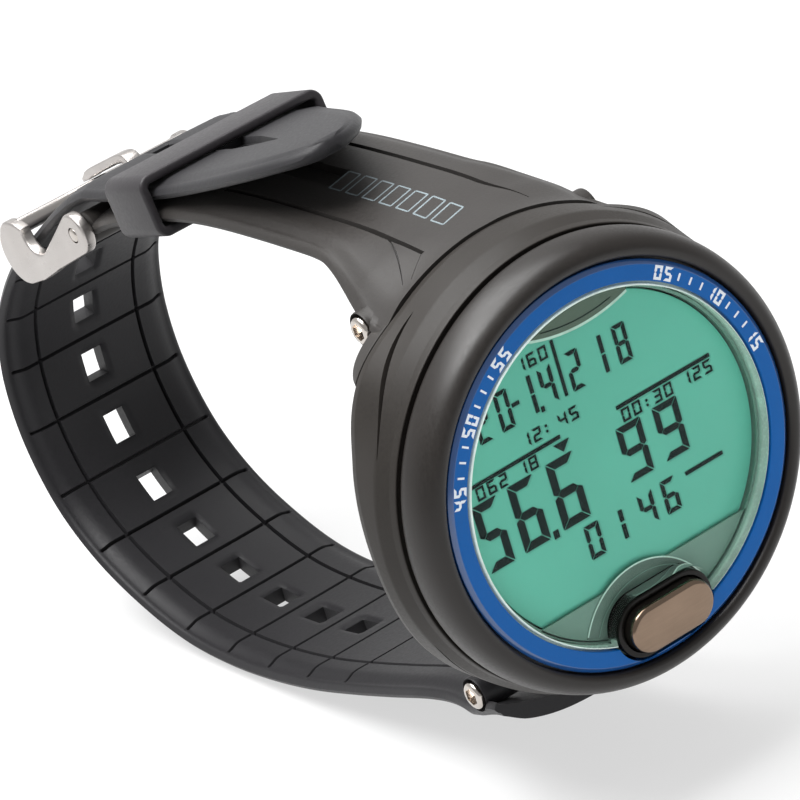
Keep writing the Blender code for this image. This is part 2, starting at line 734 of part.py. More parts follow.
def flare(length, base):
    """Half width of a strap near its lug."""
    return base + (STRAP_FLARE_HALF_WIDTH - base) * (1 - smooth_step(length / 22)) ** 1.3


def make_short_strap(materials):
    line = curve_through(SHORT_STRAP_PATH)
    keeper_at = line.nearest(KEEPER_CENTRE)

    def thickness(length):
        near_keeper = smooth_step((length - keeper_at + 16) / 8)
        near_lug = 1 - smooth_step((length - 6) / 8)
        full = STRAP_THICKNESS + (KEEPER_ZONE_THICKNESS - STRAP_THICKNESS) * near_keeper
        return full + (ROOT_THICKNESS - STRAP_THICKNESS) * near_lug

    def crown(length):
        return 0.5 + 4.6 * (1 - smooth_step(length / 18))

    def half_width(length):
        return flare(length, STRAP_END_HALF_WIDTH + 0.2)

    stations = [line.total * step / 26 for step in range(27)]
    strap = strap_body(
        "strap_short", line, stations, 1, half_width, thickness, crown, materials["strap"],
    )
    join(strap, *knuckle_boxes(1))
    end_x = STRAP_END_HALF_WIDTH
    join(strap, rod("strap_eye", [(-end_x, EYE_RADIUS), (end_x, EYE_RADIUS)], *BUCKLE_PIVOT))
    cut(strap, *pin_bores(1))
    bore_radius = BUCKLE_PIN_RADIUS + 0.2
    cut(strap, rod("buckle_bore", [(-20, bore_radius), (20, bore_radius)], *BUCKLE_PIVOT))
    pivot_depth, pivot_z = BUCKLE_PIVOT
    slot = [
        (pivot_depth - 4.0, pivot_z - 5.0), (pivot_depth + 6.0, pivot_z - 5.0),
        (pivot_depth + 6.0, pivot_z + 5.0), (pivot_depth - 4.0, pivot_z + 5.0),
    ]
    cut(strap, side_plate("tongue_slot", slot, -TONGUE_HALF_WIDTH - GAP, TONGUE_HALF_WIDTH + GAP))
    return strap


def make_long_strap(materials):
    line = curve_through(LONG_STRAP_PATH)
    tongue_hole = line.nearest(TONGUE_HOLE)
    holes = [tongue_hole + HOLE_PITCH * number for number in range(-HOLES_TO_LUG, HOLES_TO_TIP + 1)]
    keeper_at = line.nearest(KEEPER_CENTRE)
    tip_start = line.total - TIP_LENGTH
    narrowing = line.nearest(NARROWING_POINT)

    def thickness(length):
        near_keeper = smooth_step((length - keeper_at + 50) / 10)
        near_lug = 1 - smooth_step((length - 6) / 8)
        full = STRAP_THICKNESS + (KEEPER_ZONE_THICKNESS - STRAP_THICKNESS) * near_keeper
        return full + (ROOT_THICKNESS - STRAP_THICKNESS) * near_lug

    def crown(length):
        return 0.2 + 3.8 * (1 - smooth_step(length / 13))

    def half_width(length):
        if length > tip_start:
            share = (length - tip_start) / (TIP_LENGTH + 0.4)
            return STRAP_END_HALF_WIDTH * (1 - TIP_TAPER * share) * math.sqrt(1 - share**5)
        narrower = smooth_step((length - narrowing) / (tongue_hole - narrowing))
        return flare(length, STRAP_HALF_WIDTH + (STRAP_END_HALF_WIDTH - STRAP_HALF_WIDTH) * narrower)

    def lean(length):
        return -TIP_LEAN * max(0.0, length - tip_start)

    edges = []
    for hole in holes:
        edges += [hole - HOLE_LENGTH / 2, hole + HOLE_LENGTH / 2]
    stations = [edges[0] * step / 10 for step in range(10)] + edges[:1]
    for before, after in zip(edges, edges[1:]):
        parts = 1 if after - before < HOLE_LENGTH + 0.01 else 2
        stations += [before + (after - before) * step / parts for step in range(1, parts + 1)]
    rest = line.total - edges[-1]
    stations += [edges[-1] + rest * math.sin(math.pi / 2 * step / 12) for step in range(1, 13)]
    strap = strap_body(
        "strap_long", line, stations, -1, half_width, thickness, crown, materials["strap"], lean, holes,
    )
    join(strap, *knuckle_boxes(-1))
    cut(strap, *pin_bores(-1))
    return strap


# Buckle and keeper

def buckle_arm_outline():
    """Side view of one buckle arm: a lobe at the pivot, a deep bend, and a horn that carries the bar."""
    lobe = arc(BUCKLE_PIVOT, 2.9, 50, 235, 8)
    lower = [(99.5, 14.2), (104.0, 12.0)] + arc((108.7, 15.2), 4.5, 250, 380, 7)
    horn = [(112.2, 18.0), (110.9, 19.3), (109.3, 19.8), (107.4, 19.7)]
    throat = arc((102.9, 19.3), 3.1, 0, -130, 7)
    return lobe + lower + horn + throat


def make_buckle(materials):
    depth, z = BUCKLE_PIVOT
    ends = (BUCKLE_INNER_HALF_WIDTH, BUCKLE_OUTER_HALF_WIDTH)
    arms = [side_plate("buckle_frame", buckle_arm_outline(), *ends, materials["steel"])]
    arms.append(side_plate("buckle_far_arm", buckle_arm_outline(), -ends[1], -ends[0]))
    frame = arms[0]
    bar_depth, bar_z = BUCKLE_BAR
    lean = math.radians(-30)
    bar = []
    for u, v in rounded_box(1.7, 1.0, 0.6, 2):
        bar_point = Vector((u, v))
        bar_point.rotate(Matrix.Rotation(lean, 2))
        bar.append((bar_depth + bar_point.x, bar_z + bar_point.y))
    bar_plate = side_plate("buckle_bar", bar, -ends[0] - 0.5, ends[0] + 0.5)
    join(frame, bar_plate, arms[1])
    cut(frame, rod("arm_bore", [(-20, BUCKLE_PIN_RADIUS + 0.1), (20, BUCKLE_PIN_RADIUS + 0.1)], depth, z))
    pin = rod(
        "buckle_pin",
        [(-BUCKLE_OUTER_HALF_WIDTH - 0.2, 0.8), (-BUCKLE_OUTER_HALF_WIDTH, BUCKLE_PIN_RADIUS),
         (BUCKLE_OUTER_HALF_WIDTH, BUCKLE_PIN_RADIUS), (BUCKLE_OUTER_HALF_WIDTH + 0.2, 0.8)],
        depth, z, materials["steel"],
    )
    tongue = side_plate(
        "buckle_tongue", tongue_outline(), -TONGUE_HALF_WIDTH, TONGUE_HALF_WIDTH, materials["steel"],
    )
    cut(tongue, rod("tongue_eye", [(-5, BUCKLE_PIN_RADIUS + 0.15), (5, BUCKLE_PIN_RADIUS + 0.15)], depth, z))
    for piece in (frame, tongue, pin):
        set_origin(piece, place(0, depth, z))


def tongue_outline():
    """Side view of the tongue: an eye on the pin, up through a strap hole, then over the outer bar."""
    middle = [BUCKLE_PIVOT, (93.6, 20.7), (95.4, 21.3), (96.6, 22.9), (98.0, 24.4), (100.2, 24.1),
              (103.8, 22.7), (109.0, 20.6), (111.6, 19.1)]
    half = 0.65
    left, right = [], []
    for index, (u, v) in enumerate(middle):
        before = middle[max(index - 1, 0)]
        after = middle[min(index + 1, len(middle) - 1)]
        span = math.dist(before, after)
        normal = (-(after[1] - before[1]) / span, (after[0] - before[0]) / span)
        if index:
            left.append((u + normal[0] * half, v + normal[1] * half))
            right.append((u - normal[0] * half, v - normal[1] * half))
    eye = arc(BUCKLE_PIVOT, 2.0, -25, -335, 12)
    return eye + left + list(reversed(right))


def make_keeper(materials):
    depth, z = KEEPER_CENTRE
    stack = KEEPER_ZONE_THICKNESS + 0.65
    window = STRAP_END_HALF_WIDTH + GAP + 0.2
    outer = rounded_box(window + KEEPER_WALL, stack + KEEPER_WALL, 1.6)
    inner = rounded_box(window, stack, 0.6)
    along = (1 / math.hypot(1, KEEPER_SLOPE), KEEPER_SLOPE / math.hypot(1, KEEPER_SLOPE))

    def to_point(u, v, level):
        return place(u, depth + along[0] * level - along[1] * v, z + along[1] * level + along[0] * v)

    half = KEEPER_LENGTH / 2
    keeper = extruded("keeper", outer, -half, half, to_point, materials["strap"])
    cut(keeper, extruded("keeper_window", inner, -half - 1, half + 1, to_point))
    set_origin(keeper, place(0, depth, z))


def build():
    clear_scene()
    materials = make_materials()
    make_case(materials)
    make_front(materials)
    make_electronics(materials)
    make_button(materials)
    make_back(materials)
    make_pins(materials)
    make_short_strap(materials)
    make_long_strap(materials)
    make_buckle(materials)
    make_keeper(materials)


build()
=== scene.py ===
"""The looks of the wrist dive computer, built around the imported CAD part.

Sizes are in millimetres in the part's design frame: depth is measured from the face of the colour ring
towards the wrist, x runs to 3 o'clock and z to 12 o'clock. place() turns that into the row frame.
"""

import json
import math

import bmesh
import bpy
from mathutils import Matrix, Vector


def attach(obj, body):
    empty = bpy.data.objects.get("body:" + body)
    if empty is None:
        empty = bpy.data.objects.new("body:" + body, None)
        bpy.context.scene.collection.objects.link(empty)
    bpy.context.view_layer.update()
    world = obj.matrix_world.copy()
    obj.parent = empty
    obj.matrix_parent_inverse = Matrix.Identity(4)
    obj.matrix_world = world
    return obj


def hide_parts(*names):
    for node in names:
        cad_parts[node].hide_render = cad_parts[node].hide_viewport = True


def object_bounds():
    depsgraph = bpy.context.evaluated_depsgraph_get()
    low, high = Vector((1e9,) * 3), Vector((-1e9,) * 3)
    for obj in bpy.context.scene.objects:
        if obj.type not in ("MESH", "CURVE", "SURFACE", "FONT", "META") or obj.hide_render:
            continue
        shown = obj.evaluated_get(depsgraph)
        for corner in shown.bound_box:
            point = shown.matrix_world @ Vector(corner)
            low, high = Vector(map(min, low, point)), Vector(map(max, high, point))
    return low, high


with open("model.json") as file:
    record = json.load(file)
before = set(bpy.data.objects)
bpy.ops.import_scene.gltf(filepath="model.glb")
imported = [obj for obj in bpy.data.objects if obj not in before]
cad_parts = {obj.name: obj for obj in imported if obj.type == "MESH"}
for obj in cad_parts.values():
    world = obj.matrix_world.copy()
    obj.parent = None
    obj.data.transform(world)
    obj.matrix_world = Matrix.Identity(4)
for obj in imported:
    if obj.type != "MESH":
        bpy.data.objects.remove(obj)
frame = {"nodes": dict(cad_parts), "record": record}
cad_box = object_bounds()

bpy.context.scene.view_settings.view_transform = "Standard"

MM = 0.001
CASE_DEPTH = 20.5
BACK_Z = -2.2
ROUND = 256
MASK_RADIUS = 21.5
ARCH_RADIUS = 21.3
SCREW_RING = 19.1
SENSOR_RING = 14.9
TIP_LENGTH = 33.5
BUTTON_Z = -20.0
BUTTON_HALF = (6.3, 3.0)
PIN_DEPTH = 19.5
PIN_REACH = 25.2
LCD_DEPTH = 2.2

SHORT_PATH = (
    (14.6, 28.4), (25.0, 28.6), (35.0, 28.8), (45.0, 28.9), (54.0, 28.8),
    (61.0, 28.4), (67.6, 27.6), (73.7, 26.4), (79.0, 25.05), (85.0, 23.5), (91.0, 21.2),
)
NARROWING_POINT = (129.2, -9.8)
LONG_PATH = (
    (14.6, -32.0), (20.0, -32.5), (28.0, -33.2), (38.0, -34.9), (48.0, -37.4),
    (58.0, -39.8), (68.5, -42.0), (79.0, -43.4), (89.3, -43.9), (99.8, -43.1),
    (109.6, -40.2), (118.8, -35.4), (125.6, -28.6), (129.2, -19.4), NARROWING_POINT,
    (126.0, -0.8), (120.9, 5.9), (114.2, 12.0), (106.5, 17.0), (98.5, 22.0),
    (91.0, 25.7), (85.0, 26.9), (79.0, 28.0), (73.7, 29.1), (67.0, 30.6), (61.0, 32.2),
    (55.0, 33.9), (48.0, 35.9), (41.0, 37.8), (34.8, 39.3),
)
BUCKLE_PIVOT = (91.0, 21.2)
BUCKLE_BAR = (109.2, 18.4)
TONGUE_HOLE = (96.5, 22.95)
KEEPER_CENTRE = (73.7, 27.6)
KEEPER_SLOPE = -0.21
HOLE_PITCH = 10.2
HOLE_HALF = (1.6, 2.3)


def place(x, depth, z):
    return Vector((x * MM, (depth - CASE_DEPTH) * MM, (z - BACK_Z) * MM))


def smooth_step(value):
    value = min(max(value, 0.0), 1.0)
    return value * value * (3 - 2 * value)


# Materials

def tree_of(name):
    material = bpy.data.materials.new(name)
    material.use_nodes = True
    tree = material.node_tree
    return material, tree, tree.nodes["Principled BSDF"]


def feed(tree, node, **inputs):
    """Sets a node's inputs to values or to other nodes' outputs. An underscore stands for a space in a name."""
    for name, value in inputs.items():
        socket = node.inputs[name.replace("_", " ")]
        if isinstance(value, bpy.types.NodeSocket):
            tree.links.new(value, socket)
        else:
            socket.default_value = value


def add(tree, kind, **inputs):
    node = tree.nodes.new(f"ShaderNode{kind}")
    feed(tree, node, **inputs)
    return node


def noise(tree, scale, detail=3.0, stretch=None):
    """A noise in object coordinates; scale is features per metre."""
    where = add(tree, "TexCoord").outputs["Object"]
    if stretch:
        where = add(tree, "Mapping", Scale=stretch, Vector=where).outputs["Vector"]
    return add(tree, "TexNoise", Scale=scale, Detail=detail, Vector=where).outputs["Fac"]


def ramp(tree, factor, *stops):
    """A ramp between two stops, each a position and a colour."""
    node = add(tree, "ValToRGB", Fac=factor)
    for element, (position, colour) in zip(node.color_ramp.elements, stops):
        element.position = position
        element.color = (*colour, 1.0)
    return node.outputs["Color"]


def spread(tree, factor, low, high):
    """Stretches the middle of a noise's range over two values."""
    return add(tree, "MapRange", From_Min=0.3, From_Max=0.7, To_Min=low, To_Max=high, Value=factor).outputs["Result"]


def multiply(tree, a, b):
    node = add(tree, "Mix")
    node.data_type, node.blend_type = "RGBA", "MULTIPLY"
    feed(tree, node, Factor=1.0, A=a, B=b)
    return node.outputs["Result"]


def tinted(colour, gain):
    return tuple(min(1.0, channel * gain) for channel in colour)


def surface(
    name, colour, roughness, metallic=0.0, blotch=0.10, blotch_scale=90, grain=0.08, grain_scale=2600,
    bump=0.25, bump_mm=0.02, roughness_swing=0.05, stretch=None, **constants,
):
    """A finished material: soft blotches and a fine grain in the colour, the grain again in roughness and bump."""
    material, tree, shader = tree_of(name)
    blotches = ramp(
        tree, noise(tree, blotch_scale, 2.0), (0.30, tinted(colour, 1 - blotch)), (0.70, tinted(colour, 1 + blotch)),
    )
    fine = noise(tree, grain_scale, 2.0, stretch)
    speckle = ramp(tree, fine, (0.32, (1 - grain,) * 3), (0.68, (1.0,) * 3))
    feed(
        tree, shader, Base_Color=multiply(tree, blotches, speckle),
        Roughness=spread(tree, fine, roughness - roughness_swing, roughness + roughness_swing),
        Metallic=metallic, **constants,
    )
    bumps = add(tree, "Bump", Strength=bump, Distance=bump_mm * MM, Height=fine)
    feed(tree, shader, Normal=bumps.outputs["Normal"])
    return material


def clear_lens():
    """Clear acrylic: see-through with a mirror-like skin, faint hairlines in the skin."""
    material, tree, shader = tree_of("lens_clear")
    tree.nodes.remove(shader)
    through = add(tree, "BsdfTransparent", Color=(0.93, 0.985, 0.965, 1))
    gloss = add(tree, "BsdfGlossy", Color=(1, 1, 1, 1))
    feed(tree, gloss, Roughness=spread(tree, noise(tree, 500, 4.0, (1, 1, 7)), 0.015, 0.05))
    fresnel = add(tree, "Fresnel", IOR=1.14)
    mix = add(tree, "MixShader", Fac=fresnel.outputs["Fac"])
    tree.links.new(through.outputs["BSDF"], mix.inputs[1])
    tree.links.new(gloss.outputs["BSDF"], mix.inputs[2])
    feed(tree, tree.nodes["Material Output"], Surface=mix.outputs["Shader"])
    return material


def solder_mask():
    """A printed board: green lacquer over a faint pattern of tracks."""
    material, tree, shader = tree_of("board_green")
    where = add(tree, "TexCoord").outputs["Object"]
    bricks = add(
        tree, "TexBrick", Scale=420, Mortar_Size=0.03, Color1=(0.015, 0.12, 0.045, 1),
        Color2=(0.02, 0.15, 0.055, 1), Mortar=(0.05, 0.26, 0.10, 1),
    )
    mapping = add(tree, "Mapping", Rotation=(math.radians(90), 0, 0), Vector=where)
    feed(tree, bricks, Vector=mapping.outputs["Vector"])
    feed(tree, shader, Base_Color=bricks.outputs["Color"], Roughness=spread(tree, noise(tree, 900), 0.25, 0.4))
    return material


def elastomer(name, colour, roughness, blotch, sheen, grain=0.20, bump=0.5):
    return surface(
        name, colour, roughness, blotch=blotch, grain=grain, grain_scale=2300, bump=bump, bump_mm=0.03,
        Sheen_Weight=sheen, Sheen_Roughness=0.5, Specular_IOR_Level=0.3,
    )


MATERIALS = {
    "shell": surface(
        "shell_moulding", (0.025, 0.022, 0.0195), 0.45, grain=0.14, bump=0.3, Specular_IOR_Level=0.2,
    ),
    "bezel": surface(
        "bezel_satin", (0.0125, 0.0100, 0.0085), 0.40, grain=0.14, bump=0.2, bump_mm=0.01, Specular_IOR_Level=0.4,
    ),
    "ring": surface(
        "ring_blue", (0.004, 0.108, 0.385), 0.14, blotch=0.04, grain=0.03, bump=0.05, bump_mm=0.004,
        roughness_swing=0.03, Specular_IOR_Level=0.15,
    ),
    # The ring's outer bevel: the ring's blue painted darker, painted shade; its clear coat is real gloss.
    "ring_bevel_shaded": surface(
        "ring_blue_edge_painted_shade", (0.010, 0.075, 0.26), 0.12, blotch=0.04, grain=0.02, bump=0.03, bump_mm=0.004,
        roughness_swing=0.03, Coat_Weight=1.0, Coat_Roughness=0.05,
    ),
    "marks": surface("ring_marks_white", (0.80, 0.86, 0.92), 0.35, blotch=0.03, grain=0.04, bump=0.1, bump_mm=0.004),
    "lens": clear_lens(),
    # The lens's frosted edge, its pale colour raised and a faint glow added: painted light on an edge that lies in
    # shade. The same glowing colour draws pale painted highlight strips on the display mask.
    "rim": surface(
        "lens_rim_frosted_painted_light", (0.72, 0.84, 0.78), 0.25, blotch=0.15, blotch_scale=300, grain=0.06, bump=0.1,
        Emission_Color=(0.75, 1.0, 0.9, 1), Emission_Strength=0.08,
    ),
    "mask": surface("mask_grey", (0.24, 0.36, 0.31), 0.45, blotch=0.05, grain=0.05, bump=0.1, bump_mm=0.005),
    # Painted shade: the dark colour of the flat arch that stands in for the moulded hollow round the button.
    "hollow": surface(
        "mask_hollow_painted_shade", (0.12, 0.175, 0.15), 0.4, blotch=0.25, blotch_scale=220, grain=0.05, bump=0.1,
        bump_mm=0.005,
    ),
    "tab": surface("mask_olive", (0.125, 0.150, 0.115), 0.45, blotch=0.08, grain=0.06, bump=0.1, bump_mm=0.005),
    "lcd": surface(
        "lcd_teal", (0.172, 0.65, 0.52), 0.4, blotch=0.05, blotch_scale=45, grain=0.025, grain_scale=5200,
        bump=0.04, bump_mm=0.003,
    ),
    "figures": surface(
        "lcd_figures", (0.010, 0.018, 0.019), 0.4, blotch=0.1, blotch_scale=260, grain=0.05, bump=0.05, bump_mm=0.003,
        Specular_IOR_Level=0.05,
    ),
    "shade": surface("lcd_figure_shade", (0.125, 0.52, 0.41), 0.4, blotch=0.05, grain=0.03, bump=0.05, bump_mm=0.003),
    "light": surface("backlight_white", (0.78, 0.80, 0.78), 0.5, blotch=0.03, grain=0.03),
    "board": solder_mask(),
    "chip": surface("chip_black", (0.02, 0.02, 0.02), 0.42, grain=0.2, bump=0.3),
    "chassis": surface("chassis_moulding", (0.085, 0.082, 0.078), 0.42, grain=0.14, bump=0.3),
    "lip": surface(
        "collar_gloss", (0.008, 0.007, 0.006), 0.16, blotch=0.2, grain=0.1, bump=0.08, bump_mm=0.008,
        Specular_IOR_Level=0.2,
    ),
    "steel": surface(
        "steel_satin", (0.50, 0.472, 0.452), 0.34, 1.0, blotch=0.05, blotch_scale=160, grain=0.06,
        grain_scale=1500, stretch=(0.12, 1.6, 1.6), bump=0.16, bump_mm=0.012, roughness_swing=0.07,
    ),
    "polished": surface(
        "steel_polished", (0.55, 0.51, 0.47), 0.14, 1.0, blotch=0.06, blotch_scale=300, grain=0.06,
        bump=0.06, bump_mm=0.01, roughness_swing=0.05,
    ),
    "cell": surface("cell_nickel", (0.60, 0.60, 0.58), 0.2, 1.0, blotch=0.05, grain=0.06, bump=0.1),
    "brass": surface("turned_brass", (0.55, 0.40, 0.16), 0.28, 1.0, blotch=0.08, grain=0.1, bump=0.15),
    "button": surface(
        "button_bronze", (0.235, 0.17, 0.125), 0.18, 1.0, blotch=0.06, blotch_scale=220, grain=0.08,
        grain_scale=2200, stretch=(0.15, 1, 1.6), bump=0.12, bump_mm=0.006, roughness_swing=0.05,
    ),
    "seal": surface("seal_rubber", (0.025, 0.025, 0.025), 0.6, grain=0.2, bump=0.3),
    "strap": elastomer("strap_elastomer", (0.026, 0.023, 0.021), 0.50, 0.07, 0.05),
    "strap_long": elastomer("strap_elastomer_dark", (0.0125, 0.0118, 0.0138), 0.52, 0.08, 0.06),
    "keeper": elastomer("keeper_elastomer", (0.023, 0.0205, 0.023), 0.44, 0.06, 0.05, 0.16, 0.45),
    "print": surface("strap_print", (0.19, 0.235, 0.255), 0.5, blotch=0.12, blotch_scale=400, grain=0.2),
}


# Meshes

# Edges that turn by more than this many degrees are drawn sharp.
SHARP = 38
SHARP_SOFT_EDGES = 42
SHARP_FLAT = 20
SHARP_ANGLES = {}


def piece(name, points, faces, material=None, body="case", slot=None, replaces=(), sharp=SHARP):
    """A named piece from points already in the row frame. With no material it is a cutter, and with no body it rides
    on nothing yet."""
    mesh = bpy.data.meshes.new(name)
    mesh.from_pydata([tuple(point) for point in points], [], faces)
    work = bmesh.new()
    work.from_mesh(mesh)
    bmesh.ops.recalc_face_normals(work, faces=work.faces)
    work.to_mesh(mesh)
    work.free()
    obj = bpy.data.objects.new(name, mesh)
    bpy.context.scene.collection.objects.link(obj)
    SHARP_ANGLES[obj.name] = sharp
    shade(obj)
    if material:
        mesh.materials.append(MATERIALS[material])
        if body:
            dress(obj, body, replaces)
    return obj


def shade(obj):
    obj.data.shade_smooth()
    obj.data.set_sharp_from_angle(angle=math.radians(SHARP_ANGLES.get(obj.name, SHARP)))


def dress(obj, body, replaces=()):
    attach(obj, body)
    if replaces:
        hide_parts(*replaces)


def boolean(target, operation, others):
    """Cuts or joins the others, one by one, and removes them."""
    for other in others:
        modifier = target.modifiers.new("shape", "BOOLEAN")
        modifier.operation = operation
        modifier.object = other
        modifier.solver = "EXACT"
        graph = bpy.context.evaluated_depsgraph_get()
        mesh = bpy.data.meshes.new_from_object(target.evaluated_get(graph))
        target.modifiers.clear()
        target.data = mesh
        shade(target)
        bpy.data.objects.remove(other, do_unlink=True)


def cut(target, *others):
    boolean(target, "DIFFERENCE", others)


def join(target, *others):
    boolean(target, "UNION", others)


def fillet(corners, radius=0.2, steps=4):
    """A closed outline with its corners rounded. A corner may carry its own radius as a third number."""
    rounded = []
    count = len(corners)
    for index, corner in enumerate(corners):
        own = corner[2] if len(corner) > 2 else radius
        here = Vector(corner[:2])
        before = Vector(corners[index - 1][:2]) - here
        after = Vector(corners[(index + 1) % count][:2]) - here
        if own <= 0:
            rounded.append(tuple(here))
            continue
        half = before.angle(after) / 2
        reach = min(own / math.tan(half), 0.49 * before.length, 0.49 * after.length)
        start = here + before.normalized() * reach
        end = here + after.normalized() * reach
        for step in range(steps + 1):
            t = step / steps
            rounded.append(tuple(start * (1 - t) ** 2 + here * 2 * t * (1 - t) + end * t * t))
    return rounded


def grid_faces(rows, columns, wrap_rows=False, wrap_columns=False):
    faces = []
    for row in range(rows if wrap_rows else rows - 1):
        for column in range(columns if wrap_columns else columns - 1):
            r2, c2 = (row + 1) % rows, (column + 1) % columns
            faces.append((row * columns + column, row * columns + c2, r2 * columns + c2, r2 * columns + column))
    return faces


def tube_faces(rows, columns):
    """The faces of a tube of rings of points, closed at both ends."""
    count = rows * columns
    ends = [tuple(range(columns)), tuple(range(count - 1, count - columns - 1, -1))]
    return grid_faces(rows, columns, False, True) + ends


def turned(name, profile, material, centre=(0.0, 0.0), segments=ROUND, **options):
    """A closed profile of (radius, depth) turned about the depth axis. profile may depend on the clock angle."""
    points = []
    for step in range(segments):
        angle = 2 * math.pi * (step + 0.5) / segments
        section = profile(angle) if callable(profile) else profile
        for radius, depth in section:
            radius = max(radius, 0.001)
            points.append(place(centre[0] + radius * math.sin(angle), depth, centre[1] + radius * math.cos(angle)))
    faces = grid_faces(segments, len(points) // segments, True, True)
    return piece(name, points, faces, material, **options)


def prism(name, outline, first, last, to_point, material=None, rim=0.0, steps=3, **options):
    """A prism between two levels, its two rims rounded by rim. The outline runs round one way."""
    levels = [(first, 0.0), (last, 0.0)]
    if rim:
        turn = [math.pi / 2 * step / steps for step in range(steps + 1)]
        levels = [(first + rim * (1 - math.sin(t)), rim * (1 - math.cos(t))) for t in reversed(turn)]
        levels += [(last - rim * (1 - math.sin(t)), rim * (1 - math.cos(t))) for t in turn]
    count = len(outline)
    points = []
    for level, inset in levels:
        for u, v in inset_outline(outline, inset):
            points.append(to_point(u, v, level))
    return piece(name, points, tube_faces(len(levels), count), material, **options)


def inset_outline(outline, inset):
    if not inset:
        return outline
    area = sum(a[0] * b[1] - b[0] * a[1] for a, b in zip(outline, outline[1:] + outline[:1]))
    hand = 1 if area > 0 else -1
    moved = []
    for index, point in enumerate(outline):
        before = outline[index - 1]
        after = outline[(index + 1) % len(outline)]
        along = Vector((after[0] - before[0], after[1] - before[1]))
        if along.length < 1e-9:
            moved.append(point)
            continue
        along.normalize()
        moved.append((point[0] - along.y * inset * hand, point[1] + along.x * inset * hand))
    return moved


def to_face(u, v, level):
    return place(u, level, v)


def to_side(u, v, level):
    return place(level, u, v)


def arc(centre, radius, start, end, steps):
    points = []
    for step in range(steps + 1):
        angle = math.radians(start + (end - start) * step / steps)
        points.append((centre[0] + radius * math.cos(angle), centre[1] + radius * math.sin(angle)))
    return points


def stadium(half_width, half_height, centre_z=0.0, steps=24):
    straight = half_width - half_height
    right = arc((straight, centre_z), half_height, -90, 90, steps)
    left = arc((-straight, centre_z), half_height, 90, 270, steps)
    return right + left


def rod(name, profile, depth, z, material=None, segments=48, **options):
    """Turned about a line along X, from (x, radius) pairs."""
    points = []
    for x, radius in profile:
        for step in range(segments):
            angle = 2 * math.pi * (step + 0.37) / segments
            reach = max(radius, 0.002)
            points.append(place(x, depth + reach * math.cos(angle), z + reach * math.sin(angle)))
    return piece(name, points, tube_faces(len(profile), segments), material, **options)


# Case

def shell_section(angle):
    """The shell's section at one clock angle, its foot and corners fuller than its sides."""
    turn = abs(math.degrees(math.atan2(math.sin(angle), math.cos(angle))))
    rear = 14.3 - 2.4 * (1 - smooth_step(abs(turn - 95) / 40))
    corner = 1.1 * (1 - smooth_step(abs(turn - 48) / 20))
    foot = 1.4 * smooth_step((turn - 135) / 35)
    side = 29.4 + foot / 2
    rear_radius = 29.5 + corner + foot
    return fillet([
        (21.4, 15.0, 0), (21.4, 4.0, 0), (26.8, 4.0, 0), (26.8, 6.2, 0), (27.95, 6.2, 0.1), (28.45, 5.9, 0.25),
        (side - 0.75, 7.0, 1.2), (side, 9.0, 2.2), (rear_radius, rear - 1.0, 1.0), (rear_radius - 0.15, rear, 0.1),
        (24.0, rear, 0), (24.0, 15.0, 0),
    ], steps=6)


def crescent_cutter(first, last, middle, widest, press):
    """A curved slot with a V-shaped bottom that tapers to both ends, between two clock angles in degrees."""
    steps = 36
    points = []
    for step in range(steps + 1):
        along = step / steps
        angle = math.radians(first + (last - first) * along)
        swell = math.sin(math.pi * along ** 0.75) ** 0.9 if 0 < step < steps else 0.0
        half = 0.04 + widest * swell
        depth = middle[0] + (middle[1] - middle[0]) * smooth_step(along)
        bottom = 29.75 - press * (0.25 + 0.75 * min(1.0, 2.2 * swell))
        section = ((32.5, depth - half * 2.2), (bottom + 0.1, depth - half * 0.45), (bottom, depth),
                   (bottom + 0.1, depth + half * 0.45), (32.5, depth + half * 2.2))
        points += [place(r * math.sin(angle), d, r * math.cos(angle)) for r, d in section]
    return piece("crescent", points, tube_faces(steps + 1, 5))


def make_case():
    shell = turned(
        "case_shell", shell_section, "shell", segments=360, slot="case", replaces=["case_body"],
        sharp=SHARP_SOFT_EDGES,
    )
    for hand in (-1, 1):
        for start, turn in ((0, 1), (180, -1)):
            slot = (start + turn * 29.5) * hand, (start + turn * 66.0) * hand
            cut(shell, crescent_cutter(*slot, (11.6, 8.8), 0.34, 1.15))
    hub = fillet([
        (16.6, 12.4, 0), (24.4, 12.4, 0), (24.2, 15.5, 0.6), (23.4, 18.6, 0.6), (22.2, 20.0, 0.4),
        (20.7, 20.0, 0.1), (20.7, 16.1, 0), (16.6, 16.1, 0),
    ])
    turned("case_hub", hub, "shell", centre=(0, BACK_Z), segments=192, slot="case", replaces=["case_body"])
    for side, label in ((1, "12"), (-1, "6")):
        pin_z = BACK_Z + side * PIN_REACH
        nose = arc((PIN_DEPTH, pin_z), 2.2, 90 * side, -90 * side, 24)
        root = [(16.0, pin_z - side * 5.5), (14.0, pin_z - side * 5.5), (14.0, pin_z + side * 1.6)]
        prism(
            f"case_lug_{label}", nose + root, -10.5, 10.5, to_side, "shell", rim=0.35, slot="case",
            replaces=["case_body"],
        )


def paint(obj, material, reach):
    """Gives the faces of a turned piece beyond a radius another material."""
    obj.data.materials.append(MATERIALS[material])
    for polygon in obj.data.polygons:
        middle = polygon.center / MM
        if math.hypot(middle.x, middle.z + BACK_Z) > reach:
            polygon.material_index = 1


